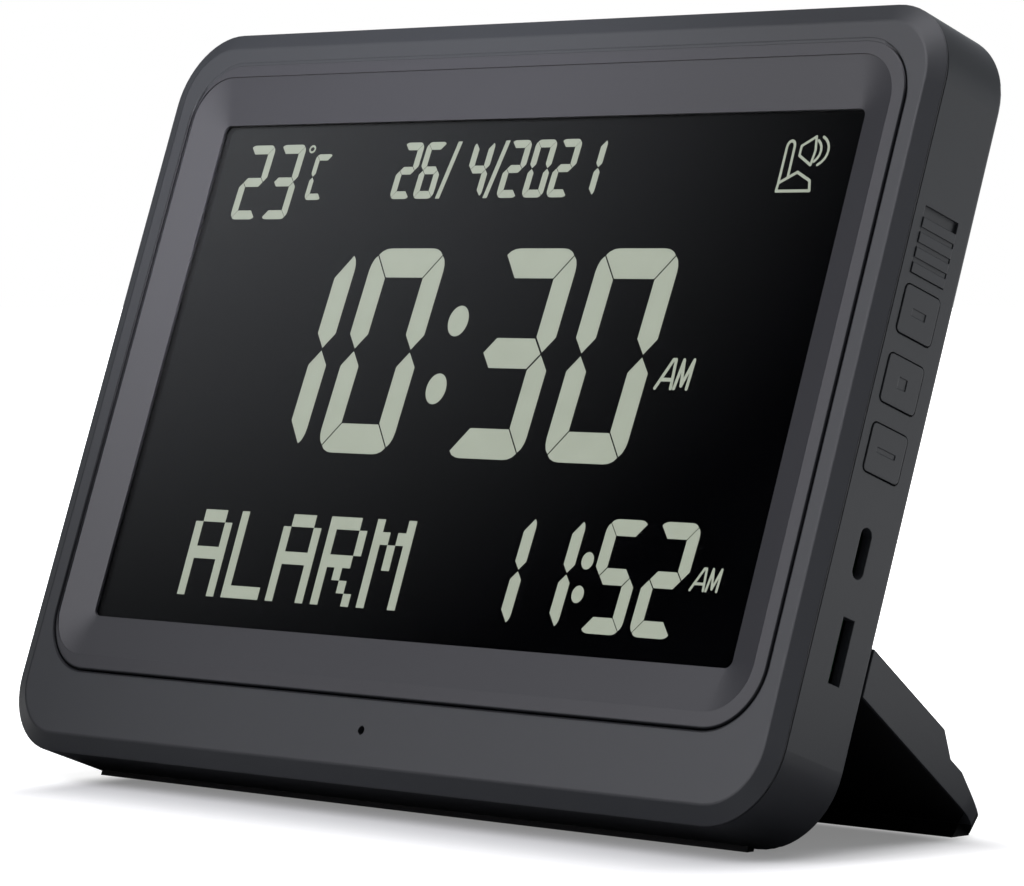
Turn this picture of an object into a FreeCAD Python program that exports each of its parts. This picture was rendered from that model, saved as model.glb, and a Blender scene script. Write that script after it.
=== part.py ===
import FreeCAD, Part
import math
import os
from types import SimpleNamespace

import Sketcher

# A desk clock in a flat rectangular case that leans back on a fold-out stand.
#
# Two frames are used, both turned about the X axis only:
#   the case lies on its back: x to the right, y up the face, z from the rear face to the front;
#   the stand starts at its hinge: y from the hinge to the tip, z out of its upper face.
# The origin of the whole part is the middle of the case foot, on the surface it stands on.

# ---------------------------------------------------------------- driving dimensions
# name, millimetres or degrees, what it is
DIMENSIONS = [
    ("case_width", 200.0, "outside width of the case"),
    ("case_height", 147.8, "outside height of the case, along the face"),
    ("case_depth", 17.3, "outside depth of the case"),
    ("case_corner", 14.5, "radius of the case's four corners, seen from the front"),
    ("lean_angle", 19.9, "how far the case leans back"),
    ("wall", 2.0, "wall of the rear cover"),
    ("rear_rounding", 0.8, "rounding of the rear cover's back edge"),
    ("frame_edge", 1.6, "height of the front frame's outer edge"),
    ("frame_plate", 3.0, "thickness of the front frame's plate"),
    ("chamfer_width", 3.4, "front chamfer, measured on the face"),
    ("chamfer_depth", 1.4, "front chamfer, measured in depth"),
    ("seam_gap", 0.2, "gap between front frame and rear cover"),
    ("nest_gap", 0.15, "play between the frame's plate and the cover's wall"),
    ("side_border", 6.7, "case side to bezel groove"),
    ("top_border", 6.7, "case top to bezel groove"),
    ("chin_height", 16.0, "case bottom to bezel groove"),
    ("groove_corner", 12.0, "corner radius of the bezel groove"),
    ("groove_gap", 0.3, "open width of the bezel groove"),
    ("groove_bevel", 0.2, "bevel on both edges of the bezel groove"),
    ("ledge_width", 2.0, "ledge in the frame that carries the bezel"),
    ("bezel_thickness", 2.0, "display bezel"),
    ("bezel_lip", 3.0, "flat band between groove and slope, right and bottom"),
    ("lip_top", 2.45, "flat band above the slope"),
    ("lip_left", 0.4, "flat band left of the slope"),
    ("lip_corner", 9.0, "corner radius of the slope's outer edge"),
    ("lip_step", 0.2, "step from the flat band down to the slope"),
    ("window_side", 16.3, "case side to display window"),
    ("window_top", 19.2, "case top to display window"),
    ("window_bottom", 27.4, "case bottom to display window"),
    ("window_corner", 1.5, "corner radius of the display window"),
    ("window_recess", 1.5, "depth of the slope around the window"),
    ("lens_thickness", 1.0, "clear display lens"),
    ("lens_gap", 0.3, "play around the lens"),
    ("glass_sheet", 1.1, "one of the two glass sheets of the display"),
    ("glass_border", 3.0, "display glass beyond the window"),
    ("contact_ledge", 4.0, "front glass beyond the rear glass, below"),
    ("layer_gap", 0.05, "play between the display's layers"),
    ("guide_thickness", 2.0, "light guide"),
    ("guide_border", 0.5, "light guide beyond the window"),
    ("reflector_thickness", 0.25, "white sheet behind the light guide"),
    ("led_length", 3.5, "one LED, along the edge of the guide"),
    ("led_height", 1.4, "one LED, out of its strip"),
    ("led_count", 10, "LEDs on the strip"),
    ("strip_thickness", 0.8, "board of the LED strip"),
    ("holder_wall", 1.5, "side wall of the display holder"),
    ("holder_gap", 0.3, "play between glass and holder"),
    ("holder_back", 0.6, "back lip of the display holder"),
    ("holder_screw_x", 60.0, "holder screws from the middle"),
    ("holder_ear_width", 8.0, "ear of the holder"),
    ("holder_ear_thickness", 1.2, "ear of the holder"),
    ("boss_inset_x", 14.0, "case screws from the side"),
    ("boss_inset_y", 6.2, "case screws from top and bottom"),
    ("boss_radius", 4.4, "screw boss of the rear cover"),
    ("frame_boss_radius", 2.8, "screw boss of the front frame"),
    ("boss_meeting", 9.6, "height at which both bosses meet, from the rear face"),
    ("well_radius", 2.7, "well for the head of a case screw"),
    ("well_depth", 7.4, "well for the head of a case screw"),
    ("case_screw_radius", 1.3, "shank of a case screw"),
    ("case_screw_head", 2.3, "head radius of a case screw"),
    ("case_screw_reach", 4.5, "case screw in the frame's boss"),
    ("small_screw_radius", 0.8, "shank of a small screw"),
    ("small_screw_head", 1.6, "head radius of a small screw"),
    ("head_height", 1.3, "height of any screw head"),
    ("small_screw_reach", 3.0, "small screw in its boss"),
    ("screw_play", 0.03, "radial play of a screw in its pilot hole"),
    ("hole_play", 0.25, "radial play of a screw in a passage"),
    ("pinhole_radius", 0.8, "air hole of the temperature sensor"),
    ("pinhole_height", 10.0, "case bottom to the air hole"),
    ("sensor_tube", 2.6, "outside radius of the tube around the sensor"),
    ("sensor_bore", 1.7, "inside radius of the tube around the sensor"),
    ("sensor_radius", 1.0, "temperature sensor"),
    ("sensor_length", 4.0, "temperature sensor"),
    ("board_thickness", 1.2, "both circuit boards"),
    ("board_front", 6.9, "front face of the main board, from the rear face"),
    ("board_left", -14.0, "left edge of the main board"),
    ("board_bottom", 5.0, "bottom edge of the main board"),
    ("board_top", 60.0, "top edge of the main board"),
    ("board_edge_gap", 1.0, "main board to the side wall"),
    ("board_notch_gap", 2.0, "main board to the corner boss"),
    ("post_radius", 2.2, "post under the main board"),
    ("post_left", -9.0, "left board screws"),
    ("post_right", 76.0, "right board screws"),
    ("post_low", 16.0, "lower board screws"),
    ("post_high", 54.0, "upper board screws"),
    ("control_chip_left", 24.0, "control chip, from the main board's left edge"),
    ("control_chip_low", 40.0, "control chip, from the main board's bottom edge"),
    ("control_chip_width", 12.0, "control chip"),
    ("control_chip_length", 12.0, "control chip"),
    ("control_chip_height", 1.6, "control chip"),
    ("sound_chip_left", 48.0, "sound chip, from the main board's left edge"),
    ("sound_chip_low", 48.0, "sound chip, from the main board's bottom edge"),
    ("sound_chip_width", 5.0, "sound chip"),
    ("sound_chip_length", 6.0, "sound chip"),
    ("sound_chip_height", 1.6, "sound chip"),
    ("memory_chip_left", 6.0, "memory chip, from the main board's left edge"),
    ("memory_chip_low", 42.0, "memory chip, from the main board's bottom edge"),
    ("memory_chip_width", 5.2, "memory chip"),
    ("memory_chip_length", 5.2, "memory chip"),
    ("memory_chip_height", 1.2, "memory chip"),
    ("crystal_across", 40.0, "crystal, from the main board's left edge"),
    ("crystal_up", 40.0, "crystal, from the main board's bottom edge"),
    ("crystal_length", 11.0, "can of the crystal"),
    ("crystal_width", 4.6, "can of the crystal"),
    ("crystal_height", 3.2, "can of the crystal"),
    ("crystal_corner", 2.2, "corner radius of the crystal's can"),
    ("strip_contact_width", 2.0, "rubber contact strip"),
    ("strip_contact_length", 84.0, "rubber contact strip"),
    ("usb_height", 50.8, "middle of the USB-C inlet, from the bottom"),
    ("usb_slot_length", 9.0, "USB-C opening in the side wall"),
    ("usb_slot_width", 2.9, "USB-C opening in the side wall"),
    ("usb_slot_corner", 1.4, "corner radius of the USB-C opening"),
    ("usb_shell_length", 8.94, "shell of the USB-C socket"),
    ("usb_shell_width", 3.16, "shell of the USB-C socket"),
    ("usb_shell_corner", 1.48, "corner radius of the USB-C socket's shell"),
    ("usb_shell_wall", 0.3, "shell of the USB-C socket"),
    ("usb_shell_depth", 7.3, "shell of the USB-C socket"),
    ("usb_tongue_width", 6.2, "tongue of the USB-C socket"),
    ("usb_tongue_thickness", 0.7, "tongue of the USB-C socket"),
    ("card_height", 33.7, "middle of the card slot, from the bottom"),
    ("card_slot_length", 11.6, "card opening in the side wall"),
    ("card_slot_width", 3.0, "card opening in the side wall"),
    ("card_socket_length", 14.0, "card socket along the wall"),
    ("card_socket_depth", 14.5, "card socket into the case"),
    ("card_socket_thickness", 1.9, "card socket"),
    ("card_mouth", 1.2, "mouth of the card socket"),
    ("side_middle", 8.65, "middle line of the side controls, from the rear face"),
    ("key_pitch", 12.4, "spacing of the side controls"),
    ("key_first", 68.5, "lowest key, from the bottom"),
    ("key_length", 9.0, "key opening along the side"),
    ("key_width", 9.8, "key opening across the side"),
    ("key_corner", 1.2, "corner radius of a key"),
    ("key_gap", 0.25, "gap around a key"),
    ("key_proud", 0.15, "key above the side face"),
    ("key_flange", 1.0, "flange of a key beyond its opening, along the side"),
    ("key_flange_side", 0.4, "flange of a key beyond its opening, across"),
    ("flange_thickness", 1.0, "flange of a key"),
    ("key_travel", 0.5, "travel of a key"),
    ("key_nub", 2.0, "radius of the nub inside a key"),
    ("mark_depth", 0.15, "sunk mark on a key"),
    ("down_mark_length", 0.9, "mark on the down key, along the side"),
    ("down_mark_width", 5.0, "mark on the down key, across the side"),
    ("set_mark_length", 2.0, "mark on the set key, along the side"),
    ("set_mark_width", 2.2, "mark on the set key, across the side"),
    ("up_mark_length", 1.3, "mark on the up key, along the side"),
    ("up_mark_width", 3.6, "mark on the up key, across the side"),
    ("touch_gap", 0.05, "play between a key and its switch"),
    ("plunger_radius", 1.7, "plunger of a push switch"),
    ("plunger_play", 0.1, "radial play of a plunger"),
    ("switch_size", 6.2, "side of a push switch"),
    ("switch_height", 3.4, "push switch above its board"),
    ("plunger_out", 1.2, "plunger above its switch"),
    ("plunger_in", 1.0, "plunger inside its switch"),
    ("key_board_low", 60.4, "lower end of the key board"),
    ("key_board_high", 113.0, "upper end of the key board"),
    ("key_board_gap", 0.3, "key board to frame and to rear wall"),
    ("rail_width", 1.5, "side of a rail that holds the key board"),
    ("rail_length", 2.0, "rail along the key board"),
    ("rail_height", 6.4, "top of a rail, from the rear face"),
    ("rail_play", 0.1, "play of the key board in its rails"),
    ("slider_travel", 2.0, "travel of the power slider"),
    ("slider_length", 9.9, "ribbed knob along the side"),
    ("slider_track_width", 9.2, "track of the knob across the side"),
    ("slider_track_depth", 0.6, "track of the knob"),
    ("slider_play", 0.1, "play of the knob in its track"),
    ("slider_rib_count", 4, "ribs on the knob"),
    ("slider_rib_width", 1.8, "one rib of the knob"),
    ("slider_rib_height", 0.3, "ribs above the knob's plate"),
    ("slider_stem", 3.0, "square stem of the knob"),
    ("slide_lever", 1.4, "square lever of the slide switch"),
    ("slide_switch_length", 9.0, "slide switch"),
    ("slide_switch_width", 4.0, "slide switch"),
    ("slide_switch_height", 3.2, "slide switch above its board"),
    ("plug_depth", 2.6, "board-to-board plug"),
    ("plug_height", 1.9, "board-to-board plug"),
    ("plug_length", 9.0, "board-to-board plug"),
    ("cell_width", 50.0, "rechargeable cell"),
    ("cell_height", 34.0, "rechargeable cell"),
    ("cell_thickness", 5.0, "rechargeable cell"),
    ("cell_bottom", 46.0, "bottom edge of the cell"),
    ("cell_corner", 2.0, "corner radius of the cell"),
    ("tape_thickness", 0.3, "tape under the cell"),
    ("rib_thickness", 1.2, "ribs inside the rear cover"),
    ("rib_height", 2.0, "ribs inside the rear cover"),
    ("rib_gap", 0.4, "ribs to what they hold"),
    ("speaker_below_top", 37.8, "middle of the speaker, below the case top"),
    ("speaker_radius", 20.0, "speaker"),
    ("speaker_cup", 17.0, "cup of the speaker's basket"),
    ("speaker_sheet", 0.8, "sheet of the speaker's basket"),
    ("speaker_cup_depth", 3.4, "cup of the speaker's basket"),
    ("magnet_radius", 9.0, "speaker magnet"),
    ("magnet_height", 2.6, "speaker magnet"),
    ("cone_sheet", 0.4, "sheet of the cone"),
    ("cone_neck", 6.0, "radius of the cone's inner end"),
    ("gasket_width", 2.0, "foam ring of the speaker"),
    ("gasket_thickness", 0.6, "foam ring of the speaker"),
    ("grille_hole", 1.2, "radius of a hole in the grille"),
    ("grille_pitch", 4.8, "spacing of the grille's rings"),
    ("grille_rings", 3, "rings of holes around the middle one"),
    ("lead_radius", 0.8, "both inner leads"),
    ("lead_reach", 6.0, "battery lead over the main board, from its left edge"),
    ("lead_drop", 6.0, "battery lead: its end on the board below its end at the cell"),
    ("speaker_lead_rise", 4.0, "speaker lead straight up from the basket's rim"),
    ("speaker_lead_side", 9.0, "speaker lead: its end on the board, from the middle"),
    ("hinge_height", 36.7, "hinge axis, from the bottom"),
    ("hinge_x", 60.0, "middle of a hinge, from the middle of the case"),
    ("hinge_pin", 1.0, "radius of a hinge pin"),
    ("pin_play", 0.05, "radial play of a hinge pin"),
    ("knuckle_radius", 2.7, "hinge knuckle and ears"),
    ("knuckle_length", 13.4, "knuckle of the stand"),
    ("ear_width", 5.0, "one ear of the rear cover"),
    ("knuckle_gap", 0.3, "gap around knuckle and ears"),
    ("washer_thickness", 0.5, "friction washer"),
    ("washer_play", 0.05, "play beside a washer"),
    ("housing_wall", 1.5, "wall behind the hinge knuckle"),
    ("stand_open", 71.0, "angle between the stand and the back, below the hinge"),
    ("stand_thickness", 8.0, "stand at its root"),
    ("stand_gap", 0.1, "stand to the back, open or folded"),
    ("stand_thick_length", 23.9, "thick part of the stand, from the hinge"),
    ("stand_step_length", 4.6, "slope down to the thin part"),
    ("stand_thin", 4.9, "thickness of the stand's thin part"),
    ("stand_flat_length", 4.3, "level stretch of the thin part"),
    ("stand_tip", 3.9, "thickness of the stand at its tip"),
    ("stand_length", 41.5, "hinge to the stand's rubber tip"),
    ("stand_skin", 1.8, "outer skin and root wall of the stand"),
    ("cheek", 2.0, "side cheek of the stand"),
    ("cell_count", 6, "hollows between the stand's ribs"),
    ("stand_rib", 1.4, "rib inside the stand"),
    ("inner_plate", 1.2, "plate that closes the stand's inner face"),
    ("inner_plate_seat", 1.6, "seat of that plate on the cheeks and ends"),
    ("inner_plate_play", 0.15, "play around that plate"),
    ("inner_plate_corner", 3.6, "cut outer corners of that plate"),
    ("stand_corner", 11.0, "corner radius of the stand and its tip, seen from above"),
    ("stand_reach", 47.4, "hinge to the end of those corners"),
    ("side_bevel_start", 32.4, "where the bevel on the stand's side edges starts"),
    ("side_bevel_width", 7.5, "width of that bevel at the end of the stand"),
    ("side_bevel_slope", 40.0, "slope of that bevel"),
    ("heel_depth", 3.0, "rubber tip: inner edge of its sole below the inner face"),
    ("heel_inset", 4.0, "ends of the rubber tip's heel from the stand's sides"),
    ("tip_high", 1.4, "rubber tip: outer edge of its sole above the inner face"),
    ("tip_nose", 3.2, "rubber tip: nose beyond the stand"),
    ("tip_edge", 0.35, "rubber tip: slope of its nose"),
    ("foot_lift", 0.15, "back edge of the case above the surface"),
    ("foot_length", 170.0, "rubber foot of the case"),
    ("foot_from_back", 1.8, "middle of the rubber foot, from the rear face"),
    ("foot_width", 1.5, "rubber foot of the case"),
    ("foot_recess", 0.8, "recess for the rubber foot"),
    ("foot_play", 0.05, "play around the rubber foot"),
]


class Size:
    """A value together with the spreadsheet formula that gives it."""

    def __init__(self, value, formula):
        self.value = value
        self.formula = formula

    @staticmethod
    def of(other):
        return other if isinstance(other, Size) else Size(float(other), str(float(other)))

    def joined(self, sign, other, value):
        return Size(value, f"({self.formula} {sign} {Size.of(other).formula})")

    def __add__(self, other):
        return self.joined("+", other, self.value + Size.of(other).value)

    def __sub__(self, other):
        return self.joined("-", other, self.value - Size.of(other).value)

    def __mul__(self, other):
        return self.joined("*", other, self.value * Size.of(other).value)

    def __truediv__(self, other):
        return self.joined("/", other, self.value / Size.of(other).value)

    def __neg__(self):
        return Size(-self.value, f"(-{self.formula})")

    def __radd__(self, other):
        return Size.of(other) + self

    def __rsub__(self, other):
        return Size.of(other) - self

    def __rmul__(self, other):
        return Size.of(other) * self


def sin(angle):
    return Size(math.sin(math.radians(angle.value)), f"sin({angle.formula})")


def cos(angle):
    return Size(math.cos(math.radians(angle.value)), f"cos({angle.formula})")


def named(name):
    """The size of that name."""
    return getattr(S, name)


def make_sheet(doc):
    """Writes the driving dimensions to a spreadsheet and returns them by name."""
    sheet = doc.addObject("Spreadsheet::Sheet", "Sizes")
    for row, (name, value, note) in enumerate(DIMENSIONS, start=1):
        sheet.set(f"A{row}", name)
        sheet.set(f"B{row}", str(value))
        sheet.set(f"C{row}", note)
        sheet.setAlias(f"B{row}", name)
    doc.recompute()
    return SimpleNamespace(**{name: Size(value, f"Sizes.{name}") for name, value, _ in DIMENSIONS})


doc = FreeCAD.newDocument("desk_clock")
S = make_sheet(doc)
ZERO = Size.of(0)
# how far a cut runs past the faces that it opens
PAST = Size.of(1)
nodes = []

# ---------------------------------------------------------------- places that many pieces share
CASE_TILT = 90 - S.lean_angle
# the foot's sole is level, so the case origin follows from where its middle touches
CASE_Y = (S.foot_from_back + S.foot_lift * sin(S.lean_angle)) / cos(S.lean_angle)
CASE_Z = S.foot_lift
STAND_FALL = 90 + S.lean_angle - S.stand_open
STAND_Y = S.hinge_height * sin(S.lean_angle) + CASE_Y
STAND_Z = S.hinge_height * cos(S.lean_angle) + CASE_Z
CASE = (CASE_Y, CASE_Z, CASE_TILT)
STAND = (STAND_Y, STAND_Z, -STAND_FALL)

HALF = S.case_width / 2
SEAM = S.case_depth - S.frame_edge
COVER_TOP = SEAM - S.seam_gap
PLATE_BACK = S.case_depth - S.frame_plate
BEZEL_BACK = S.case_depth - S.bezel_thickness
LENS_BACK = BEZEL_BACK - S.lens_thickness
GLASS_FRONT = LENS_BACK - S.layer_gap
GLASS_BACK = GLASS_FRONT - 2 * S.glass_sheet
GUIDE_FRONT = GLASS_BACK - S.layer_gap
GUIDE_BACK = GUIDE_FRONT - S.guide_thickness
REFLECTOR_BACK = GUIDE_BACK - S.layer_gap - S.reflector_thickness
HOLDER_BACK = REFLECTOR_BACK - S.layer_gap - S.holder_back
WINDOW_HALF = HALF - S.window_side
WINDOW_TOP = S.case_height - S.window_top
SLOPE_LEFT = S.side_border + S.groove_gap + S.lip_left - HALF
SLOPE_RIGHT = HALF - S.side_border - S.groove_gap - S.bezel_lip
SLOPE_BOTTOM = S.chin_height + S.groove_gap + S.bezel_lip
SLOPE_TOP = S.case_height - S.top_border - S.groove_gap - S.lip_top
GLASS_HALF = WINDOW_HALF + S.glass_border
GLASS_TOP = WINDOW_TOP + S.glass_border
REAR_GLASS_BOTTOM = S.window_bottom - S.glass_border
FRONT_GLASS_BOTTOM = REAR_GLASS_BOTTOM - S.contact_ledge
HOLDER_HALF = GLASS_HALF + S.holder_gap + S.holder_wall
HOLDER_TOP = GLASS_TOP + S.holder_gap + S.holder_wall
HOLDER_BOTTOM = FRONT_GLASS_BOTTOM - S.holder_gap - S.holder_wall
BOSS_X = HALF - S.boss_inset_x
BOSS_TOP = S.case_height - S.boss_inset_y
CASE_SCREWS = [(BOSS_X, S.boss_inset_y), (-BOSS_X, S.boss_inset_y),
               (BOSS_X, BOSS_TOP), (-BOSS_X, BOSS_TOP), (ZERO, BOSS_TOP)]
EAR_TOP = BOSS_TOP
EAR_BOTTOM = S.chin_height - S.ledge_width
HOLDER_SCREWS = [(S.holder_screw_x, EAR_TOP), (-S.holder_screw_x, EAR_TOP),
                 (S.holder_screw_x, EAR_BOTTOM), (-S.holder_screw_x, EAR_BOTTOM)]
HOLDER_EAR_FRONT = HOLDER_BACK + S.holder_ear_thickness
BOARD_BACK = S.board_front - S.board_thickness
BOARD_RIGHT = HALF - S.wall - S.board_edge_gap
BOARD_SCREWS = [(S.post_left, S.post_low), (S.post_right, S.post_low),
                (S.post_left, S.post_high), (S.post_right, S.post_high)]
KEY_HEIGHTS = [S.key_first + step * S.key_pitch for step in range(3)]
KEY_NAMES = ["down", "set", "up"]
INNER_SIDE = HALF - S.wall
FLANGE_OUT = INNER_SIDE - S.key_gap / 2
FLANGE_IN = FLANGE_OUT - S.flange_thickness
PLUNGER_TIP = FLANGE_IN - S.key_travel
SWITCH_TOP = PLUNGER_TIP - S.plunger_out
KEY_BOARD_OUT = SWITCH_TOP - S.switch_height
KEY_BOARD_IN = KEY_BOARD_OUT - S.board_thickness
TRACK_MIDDLE = S.key_first + 3 * S.key_pitch - S.slider_play
TRACK_LENGTH = S.slider_length + S.slider_travel + 2 * S.slider_play
KNOB_MIDDLE = TRACK_MIDDLE - S.slider_travel / 2
CELL_BACK = S.wall + S.tape_thickness
# the cell lies midway between the case side and the main board
CELL_LEFT = (S.board_left - HALF - S.cell_width) / 2
CELL_RIGHT = CELL_LEFT + S.cell_width
SPEAKER_Y = S.case_height - S.speaker_below_top
GASKET_FRONT = S.wall + S.gasket_thickness
HINGE_SIDES = [S.hinge_x, -S.hinge_x]
HINGE_SLOT = S.knuckle_length + 2 * S.washer_thickness + 4 * S.washer_play
HINGE_STATION = HINGE_SLOT + 2 * S.ear_width


# ---------------------------------------------------------------- helpers
def bind(obj, prop, size):
    """Ties one property of an object to a formula of the spreadsheet."""
    obj.setExpression(prop, Size.of(size).formula)


def place(obj, frame):
    """Puts an object in the case's or the stand's frame."""
    base_y, base_z, turn = frame
    obj.Placement = FreeCAD.Placement(FreeCAD.Vector(0, base_y.value, base_z.value),
                                      FreeCAD.Rotation(FreeCAD.Vector(1, 0, 0), turn.value))
    bind(obj, "Placement.Base.y", base_y)
    bind(obj, "Placement.Base.z", base_z)
    bind(obj, "Placement.Rotation.Angle", turn)


def new_body(label, frame=CASE):
    body = doc.addObject("PartDesign::Body", label)
    body.Label = label
    place(body, frame)
    nodes.append(body)
    return body


def origin_item(body, role):
    return next(item for item in body.Origin.OriginFeatures if item.Role == role)


def new_sketch(body, role, at):
    """A sketch on an origin plane; at is its own x, its own y and its height over the plane."""
    sketch = body.newObject("Sketcher::SketchObject", f"{body.Name}_sketch")
    sketch.AttachmentSupport = [(origin_item(body, role), "")]
    sketch.MapMode = "FlatFace"
    for axis, size in zip("xyz", at):
        bind(sketch, f"AttachmentOffset.Base.{axis}", size)
    return sketch


def hold(sketch, kind, first, first_end, second, second_end, size):
    """Adds a dimension to a sketch, or puts the point on the axis where the size is nothing."""
    size = Size.of(size)
    if abs(size.value) < 1e-9:
        axis = -2 if kind == "DistanceX" else -1
        sketch.addConstraint(Sketcher.Constraint("PointOnObject", second, second_end, axis))
        return
    index = sketch.addConstraint(
        Sketcher.Constraint(kind, first, first_end, second, second_end, size.value))
    bind(sketch, f"Constraints[{index}]", size)


def draw_polygon(sketch, corners):
    """A closed outline of straight lines, each corner held from the sketch's origin."""
    points = [FreeCAD.Vector(Size.of(x).value, Size.of(y).value, 0) for x, y in corners]
    first = sketch.GeometryCount
    count = len(points)
    for index in range(count):
        sketch.addGeometry(Part.LineSegment(points[index], points[(index + 1) % count]))
    for index, (x, y) in enumerate(corners):
        line = first + index
        following = first + (index + 1) % count
        sketch.addConstraint(Sketcher.Constraint("Coincident", line, 2, following, 1))
        hold(sketch, "DistanceX", -1, 1, line, 1, x)
        hold(sketch, "DistanceY", -1, 1, line, 1, y)


def draw_rectangle(sketch, left, bottom, width, height, corner=None):
    """A rectangle, with rounded corners where a radius is given."""
    left, bottom, width, height = (Size.of(size) for size in (left, bottom, width, height))
    right, top = left + width, bottom + height
    if corner is None:
        draw_polygon(sketch, [(left, bottom), (right, bottom), (right, top), (left, top)])
        return
    radius = corner.value
    centres = [(right.value - radius, bottom.value + radius), (right.value - radius, top.value - radius),
               (left.value + radius, top.value - radius), (left.value + radius, bottom.value + radius)]
    starts = [(left.value + radius, bottom.value), (right.value, bottom.value + radius),
              (right.value - radius, top.value), (left.value, top.value - radius)]
    ends = [(right.value - radius, bottom.value), (right.value, top.value - radius),
            (left.value + radius, top.value), (left.value, bottom.value + radius)]
    first = sketch.GeometryCount
    for side in range(4):
        line = Part.LineSegment(FreeCAD.Vector(*starts[side], 0), FreeCAD.Vector(*ends[side], 0))
        sketch.addGeometry(line)
        arc = Part.Circle(FreeCAD.Vector(*centres[side], 0), FreeCAD.Vector(0, 0, 1), radius)
        sketch.addGeometry(Part.ArcOfCircle(arc, math.radians(90 * side - 90), math.radians(90 * side)))
    for side in range(4):
        line, arc = first + 2 * side, first + 2 * side + 1
        following = first + (2 * side + 2) % 8
        sketch.addConstraint(Sketcher.Constraint("Tangent", line, 2, arc, 1))
        sketch.addConstraint(Sketcher.Constraint("Tangent", arc, 2, following, 1))
        sketch.addConstraint(Sketcher.Constraint("Vertical" if side % 2 else "Horizontal", line))
        if side:
            sketch.addConstraint(Sketcher.Constraint("Equal", first + 1, arc))
    index = sketch.addConstraint(Sketcher.Constraint("Radius", first + 1, radius))
    bind(sketch, f"Constraints[{index}]", corner)
    hold(sketch, "DistanceY", -1, 1, first, 1, bottom)
    hold(sketch, "DistanceX", -1, 1, first + 2, 1, right)
    hold(sketch, "DistanceY", -1, 1, first + 4, 1, top)
    hold(sketch, "DistanceX", -1, 1, first + 6, 1, left)


def draw_circle(sketch, radius):
    """A circle about the sketch's origin."""
    geometry = sketch.addGeometry(
        Part.Circle(FreeCAD.Vector(0, 0, 0), FreeCAD.Vector(0, 0, 1), Size.of(radius).value))
    sketch.addConstraint(Sketcher.Constraint("Coincident", geometry, 3, -1, 1))
    index = sketch.addConstraint(Sketcher.Constraint("Radius", geometry, Size.of(radius).value))
    bind(sketch, f"Constraints[{index}]", radius)


def extrude(kind, body, sketch, length, midplane=False, reversed_way=False):
    """A Pad or a Pocket of a sketch."""
    feature = body.newObject(f"PartDesign::{kind}", f"{body.Name}_{kind.lower()}")
    feature.Profile = sketch
    feature.Midplane = midplane
    feature.Reversed = reversed_way
    bind(feature, "Length", length)
    sketch.Visibility = False
    doc.recompute()
    return feature


def add_disc(body, x, y, low, high, radius):
    """A round boss along z."""
    sketch = new_sketch(body, "XY_Plane", (x, y, low))
    draw_circle(sketch, radius)
    return extrude("Pad", body, sketch, high - low)


def cut_disc(body, x, y, low, high, radius):
    """A round hole along z."""
    sketch = new_sketch(body, "XY_Plane", (x, y, low))
    draw_circle(sketch, radius)
    return extrude("Pocket", body, sketch, high - low, reversed_way=True)


def add_plate(body, left, bottom, right, top, low, high, corner=None):
    """A flat plate between two heights."""
    sketch = new_sketch(body, "XY_Plane", (ZERO, ZERO, low))
    draw_rectangle(sketch, left, bottom, right - left, top - bottom, corner)
    return extrude("Pad", body, sketch, high - low)


def cut_plate(body, left, bottom, right, top, low, high, corner=None):
    """A rectangular opening between two heights."""
    sketch = new_sketch(body, "XY_Plane", (ZERO, ZERO, low))
    draw_rectangle(sketch, left, bottom, right - left, top - bottom, corner)
    return extrude("Pocket", body, sketch, high - low, reversed_way=True)


def add_side_block(body, middle, height, length, width, inside, outside, corner=None):
    """A block on the right side, from x inside to x outside; middle is along the side."""
    sketch = new_sketch(body, "YZ_Plane", (middle, height, inside))
    draw_rectangle(sketch, -(length / 2), -(width / 2), length, width, corner)
    return extrude("Pad", body, sketch, outside - inside)


def cut_side_block(body, middle, height, length, width, inside, outside, corner=None):
    """A recess or opening in the right side, from x inside to x outside."""
    sketch = new_sketch(body, "YZ_Plane", (middle, height, inside))
    draw_rectangle(sketch, -(length / 2), -(width / 2), length, width, corner)
    return extrude("Pocket", body, sketch, outside - inside, reversed_way=True)


def side_disc(kind, body, middle, height, radius, inside, outside):
    """A round boss or hole along x."""
    sketch = new_sketch(body, "YZ_Plane", (middle, height, inside))
    draw_circle(sketch, radius)
    return extrude(kind, body, sketch, outside - inside, reversed_way=(kind == "Pocket"))


def loft(kind, body, sections):
    """A straight-sided Loft through sketches."""
    feature = body.newObject(f"PartDesign::{kind}", f"{body.Name}_loft")
    feature.Profile = sections[0]
    feature.Sections = sections[1:]
    feature.Ruled = True
    doc.recompute()
    return feature


def dress(kind, body, size, choose):
    """A Fillet or Chamfer on the edges that the test chooses, in the body's own frame."""
    base = body.Tip
    names = [f"Edge{index}" for index, edge in enumerate(base.Shape.Edges, start=1) if choose(edge.BoundBox)]
    feature = body.newObject(f"PartDesign::{kind}", f"{body.Name}_{kind.lower()}")
    feature.Base = (base, names)
    bind(feature, "Radius" if kind == "Fillet" else "Size", size)
    doc.recompute()
    return feature


def level_at(height, half_width=None):
    """A test for level edges at a height, inside a half width where one is given."""
    def choose(box):
        level = abs(box.ZMin - height.value) < 1e-6 and abs(box.ZMax - height.value) < 1e-6
        inside = half_width is None or max(abs(box.XMin), abs(box.XMax)) < half_width.value
        return level and inside
    return choose


def primitive(kind, position, sizes):
    """A Part primitive whose corner or foot stands at a position of its frame."""
    obj = doc.addObject(f"Part::{kind}", kind.lower())
    for axis, size in zip("xyz", position):
        bind(obj, f"Placement.Base.{axis}", size)
    for prop, size in sizes.items():
        bind(obj, prop, size)
    return obj


def box(left, bottom, low, width, height, thickness):
    return primitive("Box", (left, bottom, low), {"Length": width, "Width": height, "Height": thickness})


def cylinder(x, y, low, radius, height):
    return primitive("Cylinder", (x, y, low), {"Radius": radius, "Height": height})


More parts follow.
